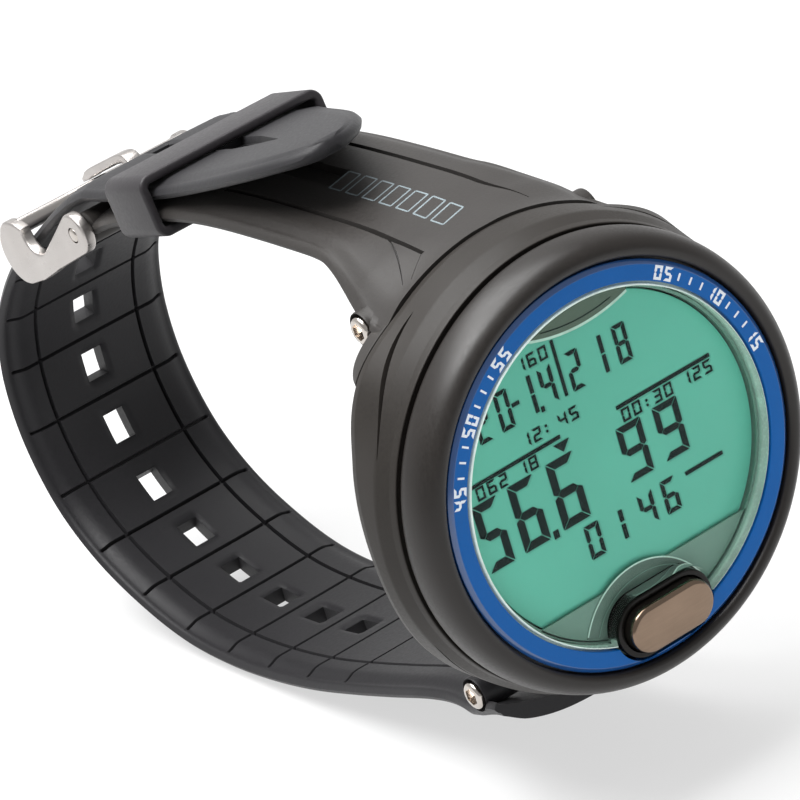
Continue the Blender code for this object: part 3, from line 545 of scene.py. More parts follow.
def make_front():
    crown = Line((
        (25.25, 1.2), (25.26, 0.55), (25.45, 0.02), (25.85, -0.28), (26.4, -0.3), (27.0, 0.05), (27.6, 0.75),
        (28.05, 1.75), (28.32, 3.0), (28.4, 4.3), (28.25, 5.2), (27.95, 5.6),
    ))
    bezel = [crown.at(crown.total * step / 40) for step in range(41)]
    bezel += [(27.1, 5.6), (27.1, 3.7), (24.6, 3.7), (24.6, 1.7), (25.25, 1.7)]
    turned("front_bezel_turned", bezel, "bezel", slot="bezel", replaces=["front_bezel"])
    ring = turned("colour_ring_face", fillet([
        (22.4, 1.4, 0), (22.4, 0.0, 0.18), (24.45, 0.0, 0.12), (25.0, 0.42, 0.1), (25.0, 1.4, 0),
    ], steps=5), "ring", slot="ring", replaces=["colour_ring"])
    # Faces on the outer bevel get the darker blue: painted shade.
    paint(ring, "ring_bevel_shaded", 24.35)
    dome = [(0.0, -0.9)]
    for step in range(1, 25):
        radius = 21.7 * step / 24
        dome.append((radius, -0.9 + 0.8 * (radius / 21.7) ** 2))
    lens = turned("lens_dome", dome + [
        (21.9, -0.06), (22.05, 0.06), (22.1, 0.25), (22.1, 1.7), (24.2, 1.7), (24.2, 2.7), (22.0, 2.7),
        (21.9, 1.3), (0.0, 1.3),
    ], "lens", slot="lens", replaces=["lens"])
    # The lens's side wall gets the frosted edge colour with its painted glow.
    paint(lens, "rim", 21.85)
    cut(ring, button_opening())
    cut(lens, button_opening())


def button_outline(margin):
    return stadium(BUTTON_HALF[0] + margin, BUTTON_HALF[1] + margin, BUTTON_Z)


def button_opening():
    """A cutter for the opening that the collar stands in."""
    return prism("opening", button_outline(1.3), -3.0, 5.0, to_face)


def clip_to_disc(outline, radius):
    """Pulls the points of an outline back onto a disc about the display's middle."""
    pulled = []
    for x, z in outline:
        reach = math.hypot(x, z)
        share = min(1.0, radius / reach) if reach else 1.0
        pulled.append((x * share, z * share))
    return pulled


def oval(centre, half, first, last):
    """An arc of an oval between two angles in degrees, as far as it lies inside the mask."""
    turns = [math.radians(degrees) for degrees in range(first, last, 3)]
    points = [(centre[0] + half[0] * math.cos(t), centre[1] + half[1] * math.sin(t)) for t in turns]
    return [point for point in points if math.hypot(*point) < ARCH_RADIUS]


def close_on_disc(line, radius, steps):
    """Closes a line with the arc of a disc about the display's middle."""
    start, end = (math.degrees(math.atan2(z, x)) for x, z in (line[-1], line[0]))
    return line + arc((0, 0), radius, start, end, steps)


def make_display():
    lcd_outline = arc((0, 0), 21.15, -44, 224, 96)
    prism(
        "lcd_panel_glass", lcd_outline, LCD_DEPTH, 3.5, to_face, "lcd", rim=0.1, slot="lcd", replaces=["lcd_panel"],
    )
    turned("display_mask_rim", [(21.4, 1.7), (21.8, 1.7), (21.8, 3.6), (21.4, 3.6)], "mask", slot="mask",
           replaces=["display_mask"])
    foot = arc((0, 0), 21.6, -41.5, -138.5, 60)
    mask = prism("display_mask_foot", foot, 1.7, 2.0, to_face, "mask", slot="mask", replaces=["display_mask"])
    cut(mask, button_opening())
    # The moulded hollow round the button is drawn as a flat arch painted dark, painted shade in the hollow, with pale
    # strips along it as painted highlights.
    arch = oval((-1.5, -24.0), (10.2, 11.0), 8, 173)
    hollow = close_on_disc(arch, ARCH_RADIUS, 20)
    well = prism("display_mask_hollow_shade", hollow, 1.62, 1.69, to_face, "hollow", slot="mask")
    cut(well, button_opening())
    # Two pale curved strips over the dark arch are painted highlights; the outer one glows.
    trail("mask_hollow_edge_highlight", arch, 1.56, 0.09, "rim", "mask")
    trail("mask_hollow_line_highlight", oval((-0.7, -22.5), (8.9, 8.0), 20, 161), 1.56, 0.05, "mask", "mask")
    # The tab at 12 o'clock hangs over the panel and ends in a shallow curve.
    low = arc((1.4, 42.0), 23.6, -120, -60, 60)
    low = [point for point in low if math.hypot(*point) < 21.4]
    prism("display_mask_tab", close_on_disc(low, MASK_RADIUS, 30), 1.75, 2.1, to_face, "tab", slot="mask")
    # A pale glowing strip along the tab's edge: painted highlight.
    trail("mask_tab_edge_highlight", [(x, z - 0.12) for x, z in low], 1.72, 0.16, "rim", "mask")
    trail("mask_tab_line", [(x, z + 0.75) for x, z in low[6:-6]], 1.72, 0.07, "figures", "mask")


def trail(name, line, depth, half, material, slot=None):
    """A thin flat strip along a line on the face."""
    outline_out, outline_in = [], []
    count = len(line)
    for index, (x, z) in enumerate(line):
        before = line[max(index - 1, 0)]
        after = line[min(index + 1, count - 1)]
        along = Vector((after[0] - before[0], after[1] - before[1])).normalized()
        outline_out.append((x - along.y * half, z + along.x * half))
        outline_in.append((x + along.y * half, z - along.x * half))
    points, faces = [], []
    for level in (depth, depth + 0.06):
        points += [place(x, level, z) for x, z in outline_out]
        points += [place(x, level, z) for x, z in outline_in]
    low, last = 2 * count, count - 1
    for a in range(last):
        b, c, d = a + 1, count + a + 1, count + a
        faces += [(a, b, c, d), (a + low, d + low, c + low, b + low)]
        faces += [(a, a + low, b + low, b), (d, c, c + low, d + low)]
    faces += [(0, count, 3 * count, low), (last, low + last, 3 * count + last, count + last)]
    return piece(name, points, faces, material, slot=slot)


# The display's figures: bars with pointed ends, in millimetres on the panel.

SEGMENTS = {
    "0": "abcdef", "1": "bc", "2": "abged", "3": "abgcd", "4": "fgbc", "5": "afgcd",
    "6": "afgedc", "7": "abc", "8": "abcdefg", "9": "abcdfg", "-": "g",
}


def figure(sign, x, z, width, height, thick, gap=0.09):
    """A seven-bar figure with mitred corners. Its bars are kept gap apart."""
    w, h, t, g = width, height, thick, gap
    m = height / 2
    outlines = {
        "a": ((g, h), (w - g, h), (w - t - g, h - t), (t + g, h - t)),
        "d": ((t + g, t), (w - t - g, t), (w - g, 0), (g, 0)),
        "f": ((0, h - g), (t, h - t - g), (t, m + t / 2 + g / 2), (t / 2, m + g / 2), (0, m + t * 0.3 + g / 2)),
        "e": ((0, m - t * 0.3 - g / 2), (t / 2, m - g / 2), (t, m - t / 2 - g / 2), (t, t + g), (0, g)),
        "g": ((t / 2 + g, m), (t + g, m + t / 2), (w - t - g, m + t / 2), (w - t / 2 - g, m),
              (w - t - g, m - t / 2), (t + g, m - t / 2)),
    }
    outlines["b"] = [(w - u, v) for u, v in outlines["f"]]
    outlines["c"] = [(w - u, v) for u, v in outlines["e"]]
    return [[Vector((x + u, z + v)) for u, v in outlines[letter]] for letter in SEGMENTS[sign]]


def block(x, z, width, height):
    return [Vector((x, z)), Vector((x + width, z)), Vector((x + width, z + height)), Vector((x, z + height))]


def display_shapes():
    shapes = []
    middle, small = (3.75, 7.2, 0.85), (1.95, 5.0, 0.52)
    for sign, x, width in (("5", -20.1, 3.7), ("6", -14.8, 3.9), ("6", -8.9, 4.15)):
        shapes += figure(sign, x, -4.5, width, 8.8, 1.05)
    shapes.append(block(-10.45, -4.9, 0.8, 1.05))
    for sign, x in (("9", 1.75), ("9", 7.4)):
        shapes += figure(sign, x, -3.5, *middle)
    for sign, x in (("2", -16.4), ("0", -13.05), ("4", -6.4), ("2", -2.25), ("8", 5.0)):
        shapes += figure(sign, x, 10.85, *small)
    for x, z, width, height in (
        (-10.9, 13.1, 1.1, 0.5), (-8.0, 10.9, 0.55, 2.3), (-8.0, 13.45, 0.55, 2.3), (-7.2, 10.6, 0.5, 0.7),
        (-3.55, 10.9, 0.45, 7.4), (2.8, 10.9, 0.55, 2.3), (2.8, 13.45, 0.55, 2.3),
        (-20.2, 6.45, 14.4, 0.5), (2.7, 5.9, 14.6, 0.5), (9.5, -6.5, 5.9, 0.5),
        (-1.1, -9.7, 0.6, 1.9), (-1.1, -7.4, 0.6, 1.5),
    ):
        shapes.append(block(x, z, width, height))
    shapes.append([Vector((-7.1, 6.0)), Vector((-5.9, 4.7)), Vector((-4.7, 6.0))])
    for sign, x in (("0", -6.3), ("4", 2.0), ("6", 5.6)):
        shapes += figure(sign, x, -9.9, 2.2, 4.4, 0.55)
    # Small printed scales in place of labels: plain figures.
    for signs, x, z in (
        ("160", -8.9, 16.5), ("12", -11.0, 7.6), ("45", -5.4, 7.6), ("062", -18.9, 4.6), ("18", -12.6, 4.6),
        ("00", 3.2, 4.0), ("30", 8.1, 4.0), ("125", 12.6, 4.0),
    ):
        for index, sign in enumerate(signs):
            shapes += figure(sign, x + 1.7 * index, z, 1.2, 1.7, 0.27, 0.0)
    for x, z in ((-7.4, 8.0), (-7.4, 8.7), (6.9, 4.3), (6.9, 4.9)):
        shapes.append(block(x, z, 0.3, 0.3))
    return shapes


def flat_shapes(name, shapes, depth, thick, material, slot, grow=0.0, shift=(0.0, 0.0), limit=None):
    """Many flat solids on the face as one piece."""
    points, faces = [], []
    for shape in shapes:
        outline = [(p[0] + shift[0], p[1] + shift[1]) for p in shape]
        if limit and max(math.hypot(*p) for p in outline) > limit:
            outline = clip_to_disc(outline, limit)
        if grow:
            outline = inset_outline(outline, -grow)
        first = len(points)
        count = len(outline)
        points += [place(x, depth, z) for x, z in outline]
        points += [place(x, depth + thick, z) for x, z in outline]
        faces.append(tuple(first + index for index in range(count)))
        faces.append(tuple(first + count + index for index in reversed(range(count))))
        for index in range(count):
            after = (index + 1) % count
            faces.append((first + index, first + count + index, first + count + after, first + after))
    return piece(name, points, faces, material, slot=slot, sharp=SHARP_FLAT)


def make_figures():
    shapes = display_shapes()
    flat_shapes("lcd_figures", shapes, LCD_DEPTH - 0.10, 0.04, "figures", slot="lcd", limit=21.0)
    # An offset, slightly grown copy of the figures in a darker teal: their painted shadow on the panel.
    flat_shapes(
        "lcd_figure_shade", shapes, LCD_DEPTH - 0.03, 0.02, "shade", slot="lcd", grow=0.05, shift=(0.22, -0.24),
        limit=21.1,
    )


def around(signs, degrees, radius, height, width):
    """Figures set round the ring, their tops outward."""
    shapes = []
    for index, sign in enumerate(signs):
        offset = (index - (len(signs) - 1) / 2) * (width + 0.4)
        for outline in figure(sign, -width / 2, -height / 2, width, height, 0.34, 0.0):
            turned_outline = []
            for point in outline:
                reach = radius + point[1]
                angle = math.radians(degrees) + (offset + point[0]) / radius
                turned_outline.append(Vector((reach * math.sin(angle), reach * math.cos(angle))))
            shapes.append(turned_outline)
    return shapes


def make_ring_marks():
    shapes = []
    for signs, degrees in (("45", -72), ("50", -51), ("55", -30), ("05", 33), ("10", 54), ("15", 75)):
        shapes += around(signs, degrees, 23.5, 1.75, 1.15)
    for degrees in (-66, -61.5, -57, -45, -40.5, -36, 39, 43.5, 48, 60, 64.5, 69):
        angle = math.radians(degrees)
        across = Vector((math.cos(angle), -math.sin(angle))) * 0.13
        out = Vector((math.sin(angle), math.cos(angle)))
        shapes.append([out * 23.0 - across, out * 23.0 + across, out * 23.95 + across, out * 23.95 - across])
    flat_shapes("ring_marks", shapes, -0.035, 0.05, "marks", slot="ring")


def make_button():
    collar = prism(
        "button_collar_lip", button_outline(0.95), -0.3, 5.8, to_face, "lip", rim=0.3, steps=5,
        slot="chassis", replaces=["button_collar"],
    )
    cut(collar, prism("well", button_outline(0.25), -2.0, 4.2, to_face))
    bore = [(1.9 * math.cos(a * math.pi / 16), BUTTON_Z + 1.9 * math.sin(a * math.pi / 16)) for a in range(32)]
    cut(collar, prism("bore", bore, 3.0, 7.0, to_face))
    levels = [(1.2, 0.0), (-1.35, 0.0)]
    for step in range(1, 9):
        turn = math.pi / 2 * step / 8
        levels.append((-1.35 - 0.7 * math.sin(turn), 0.7 * (1 - math.cos(turn))))
    levels += [(-2.13, 1.1), (-2.19, 1.6), (-2.23, 2.1), (-2.26, 2.6)]
    points = []
    count = 0
    for depth, inset in levels:
        outline = stadium(BUTTON_HALF[0] - inset, BUTTON_HALF[1] - inset, BUTTON_Z, steps=32)
        count = len(outline)
        points += [place(x, depth, z) for x, z in outline]
    cap = piece(
        "button_cap_domed", points, tube_faces(len(levels), count), "button", body="button", slot="button",
        replaces=["button_cap"],
    )
    cap.data.materials.append(MATERIALS["lip"])
    crown_level = place(0, -1.4, 0).y
    for polygon in cap.data.polygons:
        if polygon.center.y > crown_level:
            polygon.material_index = 1


# Straps

class Line:
    """A smooth line in the side view, read by its length from the lug."""

    def __init__(self, points):
        dense = []
        for index in range(len(points) - 1):
            rows = zip(
                points[max(index - 1, 0)], points[index], points[index + 1], points[min(index + 2, len(points) - 1)],
            )
            rows = list(rows)
            for step in range(20):
                t = step / 20
                dense.append(tuple(
                    0.5 * (2 * b + (c - a) * t + (2 * a - 5 * b + 4 * c - d) * t * t
                           + (3 * b - a - 3 * c + d) * t**3)
                    for a, b, c, d in rows
                ))
        dense.append(points[-1])
        self.points = dense
        self.lengths = [0.0]
        for a, b in zip(dense, dense[1:]):
            self.lengths.append(self.lengths[-1] + math.dist(a, b))
        self.total = self.lengths[-1]

    def at(self, length):
        length = min(max(length, 0.0), self.total)
        index = 0
        while index < len(self.lengths) - 2 and self.lengths[index + 1] < length:
            index += 1
        share = (length - self.lengths[index]) / (self.lengths[index + 1] - self.lengths[index])
        a, b = self.points[index], self.points[index + 1]
        return (a[0] + (b[0] - a[0]) * share, a[1] + (b[1] - a[1]) * share)

    def direction(self, length):
        a, b = self.at(length - 0.8), self.at(length + 0.8)
        span = math.dist(a, b)
        return ((b[0] - a[0]) / span, (b[1] - a[1]) / span)

    def nearest(self, target):
        best = min(range(len(self.points)), key=lambda index: math.dist(self.points[index], target))
        return self.lengths[best]


def spaced(first, last, pitch):
    count = max(1, round((last - first) / pitch))
    return [first + (last - first) * step / count for step in range(count)]


def swept_strap(name, line, stations, inner_columns, outward, width_at, full_at, crown_at, shift_at, relief,
                material, slot, replaces, holes=(), edge_round=0.8):
    """A moulded strap: a skin swept along its line, with relief(length, x, face) pressed into its two faces.

    inner_columns are the absolute x of the columns inside the edge; the outermost ones follow the width.
    """
    arcs = 8
    reach = max(inner_columns)
    points = []

    def squeezed(x, last):
        """Keeps the columns round the holes in place and squeezes the others into a narrower strap."""
        core = 2.6 * min(1.0, last / 4.0)
        return x / 2.6 * core if x <= 2.6 else core + (x - 2.6) / (reach - 2.6) * (last - core)

    rows = len(stations)
    for length in stations:
        depth, z = line.at(length)
        along = line.direction(length)
        normal = (-along[1] * outward, along[0] * outward)
        width, full = width_at(length), full_at(length)
        edge = min(1.6, full) / 2
        flat = max(width - edge_round, width * 0.5)
        last = min(reach, flat - 0.25)
        near_edge = [last + (flat - last) * s / 8 for s in range(1, 9)]
        half_row = [squeezed(x, last) for x in inner_columns] + near_edge
        row = [-x for x in reversed(half_row) if x > 1e-6] + half_row
        shift = shift_at(length)
        section = []
        for face in (1, -1):
            face_points = []
            for x in row:
                share = abs(x) / width
                thin = smooth_step((abs(x) / flat - 0.82) / 0.18)
                offset = full / 2 + (edge - full / 2) * thin
                rise = -crown_at(length) * share**3
                face_points.append((x, rise + face * (offset - relief(length, x, face))))
            if face == -1:
                face_points.reverse()
            section += face_points
            side = 1 if face == 1 else -1
            rise = -crown_at(length)
            for step in range(1, arcs):
                turn = math.pi * step / arcs
                bulge = (width - flat) * math.sin(turn) + (0.11 if step == arcs // 2 else 0.0)
                section.append((side * (flat + bulge), rise + side * edge * math.cos(turn)))
        columns = len(section)
        for x, offset in section:
            points.append(place(x + shift, depth + normal[0] * offset, z + normal[1] * offset))
    half = len(row)
    middle_column = half // 2
    hole_columns = sum(0 < x <= HOLE_HALF[0] for x in inner_columns)
    first, last = middle_column - hole_columns, middle_column + hole_columns
    row_open = [any(abs((a + b) / 2 - hole) < HOLE_HALF[1] for hole in holes) for a, b in zip(stations, stations[1:])]

    def partner(column):
        """The column of the inner face that lies under a column of the outer face."""
        return 2 * half + arcs - 2 - column

    faces = []
    for index in range(rows - 1):
        a, b = index * columns, (index + 1) * columns
        for column in range(columns):
            after = (column + 1) % columns
            if not (row_open[index] and (first <= column < last or first < partner(column) <= last)):
                faces.append((a + column, a + after, b + after, b + column))
    for index in range(rows - 1):
        if not row_open[index]:
            continue
        a, b = index * columns, (index + 1) * columns
        faces += [(a + edge, b + edge, b + partner(edge), a + partner(edge)) for edge in (first, last)]
        for start, beyond in ((a, index - 1), (b, index + 1)):
            if not row_open[beyond]:
                for column in range(first, last):
                    faces.append((
                        start + column, start + column + 1, start + partner(column + 1), start + partner(column),
                    ))
    faces.append(tuple(range(columns)))
    faces.append(tuple(range(len(points) - 1, len(points) - columns - 1, -1)))
    return piece(name, points, faces, material, slot=slot, replaces=replaces, sharp=SHARP_SOFT_EDGES)


def groove(distance, half, soft):
    """1 in the middle of a groove, falling to 0 at its lips."""
    return 1 - smooth_step((abs(distance) - half) / soft)


def flare(length, base):
    return base + (17.8 - base) * (1 - smooth_step(length / 22)) ** 1.3


def short_full(length):
    return 3.0 - 0.6 * (1 - smooth_step((length - 6) / 8))


def short_crown(length):
    return 0.5 + 4.6 * (1 - smooth_step(length / 18))


def short_width(length):
    return flare(length, 13.0)


def flush(x, length):
    """How far the short strap's outer face sinks at its root, to run flush into the shell's round side."""
    shell = math.sqrt(max(30.0**2 - x * x, 0.0)) - 0.35
    own = 29.6 - short_crown(length) * (abs(x) / short_width(length)) ** 3
    return max(0.0, own - shell) * (1 - smooth_step((length - 0.5) / 7))


def short_point(line, length, x, lift):
    """A point over the short strap's outer face."""
    depth, z = line.at(length)
    along = line.direction(length)
    offset = short_full(length) / 2 - short_crown(length) * (abs(x) / short_width(length)) ** 3
    offset += lift - flush(x, length)
    return place(x, depth - along[1] * offset, z + along[0] * offset)


def strap_groove(line, path, press):
    """A cutter that follows (length, x, half width) over the short strap's outer face."""
    points = []
    for length, x, half in path:
        for out, lift in ((-half, 0.5), (-half * 0.7, -press), (half * 0.7, -press), (half, 0.5)):
            points.append(short_point(line, length, x + out, lift))
    return piece("groove", points, tube_faces(len(path), 4))


def add_ears(strap, side):
    """Two barrels round the lug pin, joined to the strap's root, with a recess for the pin's heads."""
    z = BACK_Z + side * PIN_REACH
    for hand in (-1, 1):
        ends = sorted((hand * 10.8, hand * 17.7))
        barrel = arc((PIN_DEPTH, z), 2.35, 4, 349, 30)
        join(strap, prism("ear", barrel, *ends, to_side, rim=0.5))
    for hand in (-1, 1):
        profile = [(hand * x, radius) for x, radius in ((16.2, 2.2), (17.3, 2.2), (19.0, 2.6), (25.0, 2.6))]
        cut(strap, rod("recess", profile, PIN_DEPTH, z))


def bore_along_x(radius):
    return rod("bore", [(-20, radius), (20, radius)], *BUCKLE_PIVOT)


def make_short_strap():
    line = Line(SHORT_PATH)
    keeper_at = line.nearest(KEEPER_CENTRE)

    def full_at(length):
        return short_full(length) - 0.7 * smooth_step((length - keeper_at + 16) / 8)

    def relief(length, x, face):
        depth = length + 14.6
        if face == -1:
            return 0.0
        pocket = smooth_step((depth - 45.0 - 0.35 * x) / 1.2) * smooth_step((59 - depth) / 2)
        pressed = 0.8 * pocket * groove(x, 1.8 - 0.02 * (depth - 45), 0.3)
        return pressed + flush(x, length)

    inner = [0, 0.8, 1.3, 1.6, 1.85, 2.1, 2.4, 2.6, 3.2] + [4.0 + 0.7 * step for step in range(12)]
    stations = spaced(0, 8, 0.3) + spaced(8, 46, 0.5) + spaced(46, line.total, 0.8) + [line.total]
    strap = swept_strap(
        "strap_short_moulded", line, stations, inner, 1, short_width, full_at, short_crown, lambda length: 0.0,
        relief, "strap", "strap", ["strap_short"],
    )
    for hand in (-1, 1):
        groove_path = []
        for step in range(61):
            length = 3.0 + 43.0 * step / 60
            near = 1 - smooth_step((length - 3.0) / 9)
            bend = 1.1 * near if hand > 0 else 0.0
            half = 0.42 - (0.34 if hand > 0 else 0.12) * near
            groove_path.append((length, hand * (7.55 + bend), half))
        cut(strap, strap_groove(line, groove_path, 0.9))
    crease = Line(((14.2, 7.3), (10.6, 7.55), (8.0, 8.4), (4.7, 10.1), (1.6, 12.2)))
    path = []
    for step in range(31):
        length, x = crease.at(crease.total * step / 30)
        path.append((length, -x, 0.16 * math.sin(math.pi * (0.08 + 0.84 * step / 30))))
    cut(strap, strap_groove(line, list(reversed(path)), 0.4))
    thin = [(1.1 + 2.0 * step / 8, -(11.15 - 3.4 * step / 8), 0.07) for step in range(9)]
    cut(strap, strap_groove(line, thin, 0.2))
    add_ears(strap, 1)
    join(strap, rod("eye", [(-12.8, 1.9), (-12.5, 2.2), (12.5, 2.2), (12.8, 1.9)], *BUCKLE_PIVOT))
    depth, z = BUCKLE_PIVOT
    gap = [(depth - 4, z - 5), (depth + 6, z - 5), (depth + 6, z + 5), (depth - 4, z + 5)]
    cut(strap, bore_along_x(1.2), prism("gap", gap, -1.4, 1.4, to_side))


def make_wings():
    """Where the short strap's root turns the corner round its lug pin, it hugs the shell as a tapering wing."""
    for hand, side in ((-1, "left"), (1, "right")):
        points = []
        for step in range(25):
            along = step / 24
            degrees = 34.5 + 15.5 * along
            angle = math.radians(degrees * hand)
            fade = math.sqrt(max(1 - along**4, 0.01))
            out = 29.3 + 1.1 * (1 - smooth_step(abs(degrees - 48) / 20))
            section = fillet([
                (27.2, 14.6), (out, 14.6, 0.12), (out - 0.5, 14.6 + 2.9 * fade, 0.9), (27.2, 14.6 + 3.1 * fade, 0.6),
            ], 0.2, 5)
            points += [place(r * math.sin(angle), d, r * math.cos(angle)) for r, d in section]
        piece(f"strap_wing_{side}", points, tube_faces(25, len(points) // 25), "strap", slot="strap")


def make_print(line):
    """A generic printed mark on the short strap: a row of slanted outlined bars, just proud of the surface."""
    points, faces = [], []
    for number in range(7):
        start = 5.6 + 3.6 * number
        corners = [(start, -2.3), (start + 2.5, -2.3), (start + 4.0, 1.9), (start + 1.5, 1.9)]
        for a, b in zip(corners, corners[1:] + corners[:1]):
            along = Vector((b[0] - a[0], b[1] - a[1])).normalized()
            across = Vector((-along.y, along.x)) * 0.13
            first = len(points)
            for lift in (0.012, -0.05):
                for point, sign in ((a, 1), (b, 1), (b, -1), (a, -1)):
                    points.append(short_point(line, point[0] + across.x * sign, point[1] + across.y * sign, lift))
            faces += [tuple(first + i for i in (0, 1, 2, 3)), tuple(first + i for i in (7, 6, 5, 4))]
            for i in range(4):
                j = (i + 1) % 4
                faces.append((first + i, first + 4 + i, first + 4 + j, first + j))
    return piece("strap_print", points, faces, "print", slot="strap", sharp=SHARP_FLAT)


def make_long_strap():
    line = Line(LONG_PATH)
    tongue_hole = line.nearest(TONGUE_HOLE)
    holes = [tongue_hole + HOLE_PITCH * number for number in range(-12, 4)]
    keeper_at = line.nearest(KEEPER_CENTRE)
    tip_start = line.total - TIP_LENGTH
    narrowing = line.nearest(NARROWING_POINT)

    def full_at(length):
        near_keeper = smooth_step((length - keeper_at + 50) / 10)
        near_lug = 1 - smooth_step((length - 6) / 8)
        full = 3.0 - 0.7 * near_keeper - 0.6 * near_lug
        rest = (line.total - length) / 0.9
        return full * (math.sqrt(max(1 - (1 - rest) ** 2, 0.02)) if rest < 1 else 1.0)

    def crown_at(length):
        return 0.2 + 3.8 * (1 - smooth_step(length / 13))

    def width_at(length):
        if length > tip_start:
            share = min((length - tip_start) / 33.6, 0.9999)
            return 12.8 * (1 - 0.38 * share) * math.sqrt(1 - share**5)
        narrower = smooth_step((length - narrowing) / (tongue_hole - narrowing))
        return flare(length, 13.75 - 0.95 * narrower)

    def shift_at(length):
        return -0.16 * max(0.0, length - tip_start)

    cross = [(a + b) / 2 for a, b in zip(holes, holes[1:])]
    cross = [holes[0] - HOLE_PITCH / 2, holes[0] - HOLE_PITCH * 1.5] + cross[:12]
    grid_end = cross[-1]

    def relief(length, x, face):
        near_hole = min(abs(length - hole) for hole in holes) - HOLE_HALF[1]
        outside = max(near_hole, abs(x) - HOLE_HALF[0])
        chamfer = 0.38 * (1 - min(max(outside / 0.45, 0.0), 1.0))
        pressed = chamfer if outside > -0.01 else 0.0
        if face == 1:
            return pressed
        if length < grid_end + 3:
            lane = groove(abs(x) - 8.3, 0.12, 0.18)
            step = min(abs(length - c) for c in cross)
            rung = groove(step, 0.12, 0.18) * smooth_step((12.9 - abs(x)) / 0.5) * smooth_step((length - 6) / 2)
            lane = lane * smooth_step((length - 8) / 3) * smooth_step((grid_end - length) / 2 + 0.5)
            pressed = max(pressed, 0.75 * max(lane, rung))
        return pressed

    inner = [0, 0.8, 1.2, 1.6, 2.05, 2.6, 3.5, 4.6, 5.8, 7.0, 7.6, 7.9, 8.0, 8.06, 8.13, 8.2]
    inner += [8.3, 8.4, 8.47, 8.54, 8.6, 8.7, 9.1, 9.6, 10.4, 11.2, 11.8]
    marks = {0.0, line.total}
    for hole in holes:
        for offset in (-2.75, -2.3, -0.8, 0.8, 2.3, 2.75):
            marks.add(hole + offset)
    for c in cross:
        for offset in (-1.3, -0.55, -0.32, -0.25, -0.18, -0.1, 0, 0.1, 0.18, 0.25, 0.32, 0.55, 1.3):
            marks.add(c + offset)
    marks |= set(spaced(0, holes[0] - 8, 0.4))
    marks |= set(spaced(holes[-1] + 2.9, holes[-1] + 15, 0.8))
    rests = (0.02, 0.08, 0.18, 0.32, 0.5, 0.7, 0.9, 1.3, 1.8, 2.4, 3.2, 4, 5, 6, 7.2, 8.5)
    marks |= {line.total - rest for rest in rests}
    marks |= set(spaced(tip_start, line.total - 9, 1.0))
    stations = []
    for mark in sorted(m for m in marks if 0 <= m <= line.total):
        if stations and mark - stations[-1] < 0.012:
            continue
        stations.append(mark)
    strap = swept_strap(
        "strap_long_moulded", line, stations, inner, -1, width_at, full_at, crown_at, shift_at, relief,
        "strap_long", "strap", ["strap_long"], holes,
    )
    add_ears(strap, -1)
    # A pointed pocket runs from just before the last hole towards the tip.
    points = []
    for step in range(13):
        length = holes[-1] - 3.4 + 18.4 * step / 12
        depth, z = line.at(length)
        along = line.direction(length)
        half = 2.1 * min(1.0, 1.5 * (1 - step / 12) + 0.03)
        shift = shift_at(length)
        for out, offset in ((-half, 2.0), (-half * 0.85, 0.15), (half * 0.85, 0.15), (half, 2.0)):
            points.append(place(shift + out, depth + along[1] * offset, z - along[0] * offset))
    cut(strap, piece("pocket", points, tube_faces(13, 4)))


# Buckle and keeper

def make_keeper():
    depth, z = KEEPER_CENTRE
    span = math.hypot(1, KEEPER_SLOPE)
    along = (1 / span, KEEPER_SLOPE / span)
    wall, half, corner = 1.25, 5.15, 0.42
    window = (13.3, 2.95)
    inner_corner = 0.6
    ring = []
    for quarter, (sx, sz) in enumerate(((1, 1), (-1, 1), (-1, -1), (1, -1))):
        centre = (sx * (window[0] - inner_corner), sz * (window[1] - inner_corner))
        for step in range(11):
            turn = math.radians(quarter * 90 + 9 * step)
            normal = (math.cos(turn), math.sin(turn))
            ring.append(((centre[0] + normal[0] * inner_corner, centre[1] + normal[1] * inner_corner), normal))
    section = []
    for (level, out), start in (((half, wall), 0), ((-half, wall), 90), ((-half, 0), 180), ((half, 0), 270)):
        mid_level = level - math.copysign(corner, level)
        mid_out = out - corner if out else corner
        for step in range(5):
            turn = math.radians(start + 22.5 * step)
            section.append((mid_level + corner * math.cos(turn), mid_out + corner * math.sin(turn)))
    points = []
    for (x, v), normal in ring:
        for level, out in section:
            px, pv = x + normal[0] * out, v + normal[1] * out
            points.append(place(px, depth + along[0] * level - along[1] * pv, z + along[1] * level + along[0] * pv))
    faces = grid_faces(len(ring), len(section), True, True)
    piece("keeper_loop_moulded", points, faces, "keeper", body="keeper_loop", slot="strap", replaces=["keeper"])


def buckle_arm():
    lobe = arc(BUCKLE_PIVOT, 2.9, 50, 235, 24)
    lower = fillet([(94, 18), (99.5, 14.2), (104.0, 12.0), (108, 11)], 6, 6)[7:21]
    lower += arc((108.7, 15.2), 4.5, 250, 380, 20)
    horn = [(112.2, 18.0), (111.8, 18.6), (110.9, 19.3), (110.1, 19.65), (109.3, 19.8), (108.3, 19.8), (107.4, 19.7)]
    throat = arc((102.9, 19.3), 3.1, 0, -130, 20)
    return lobe + lower + horn + throat


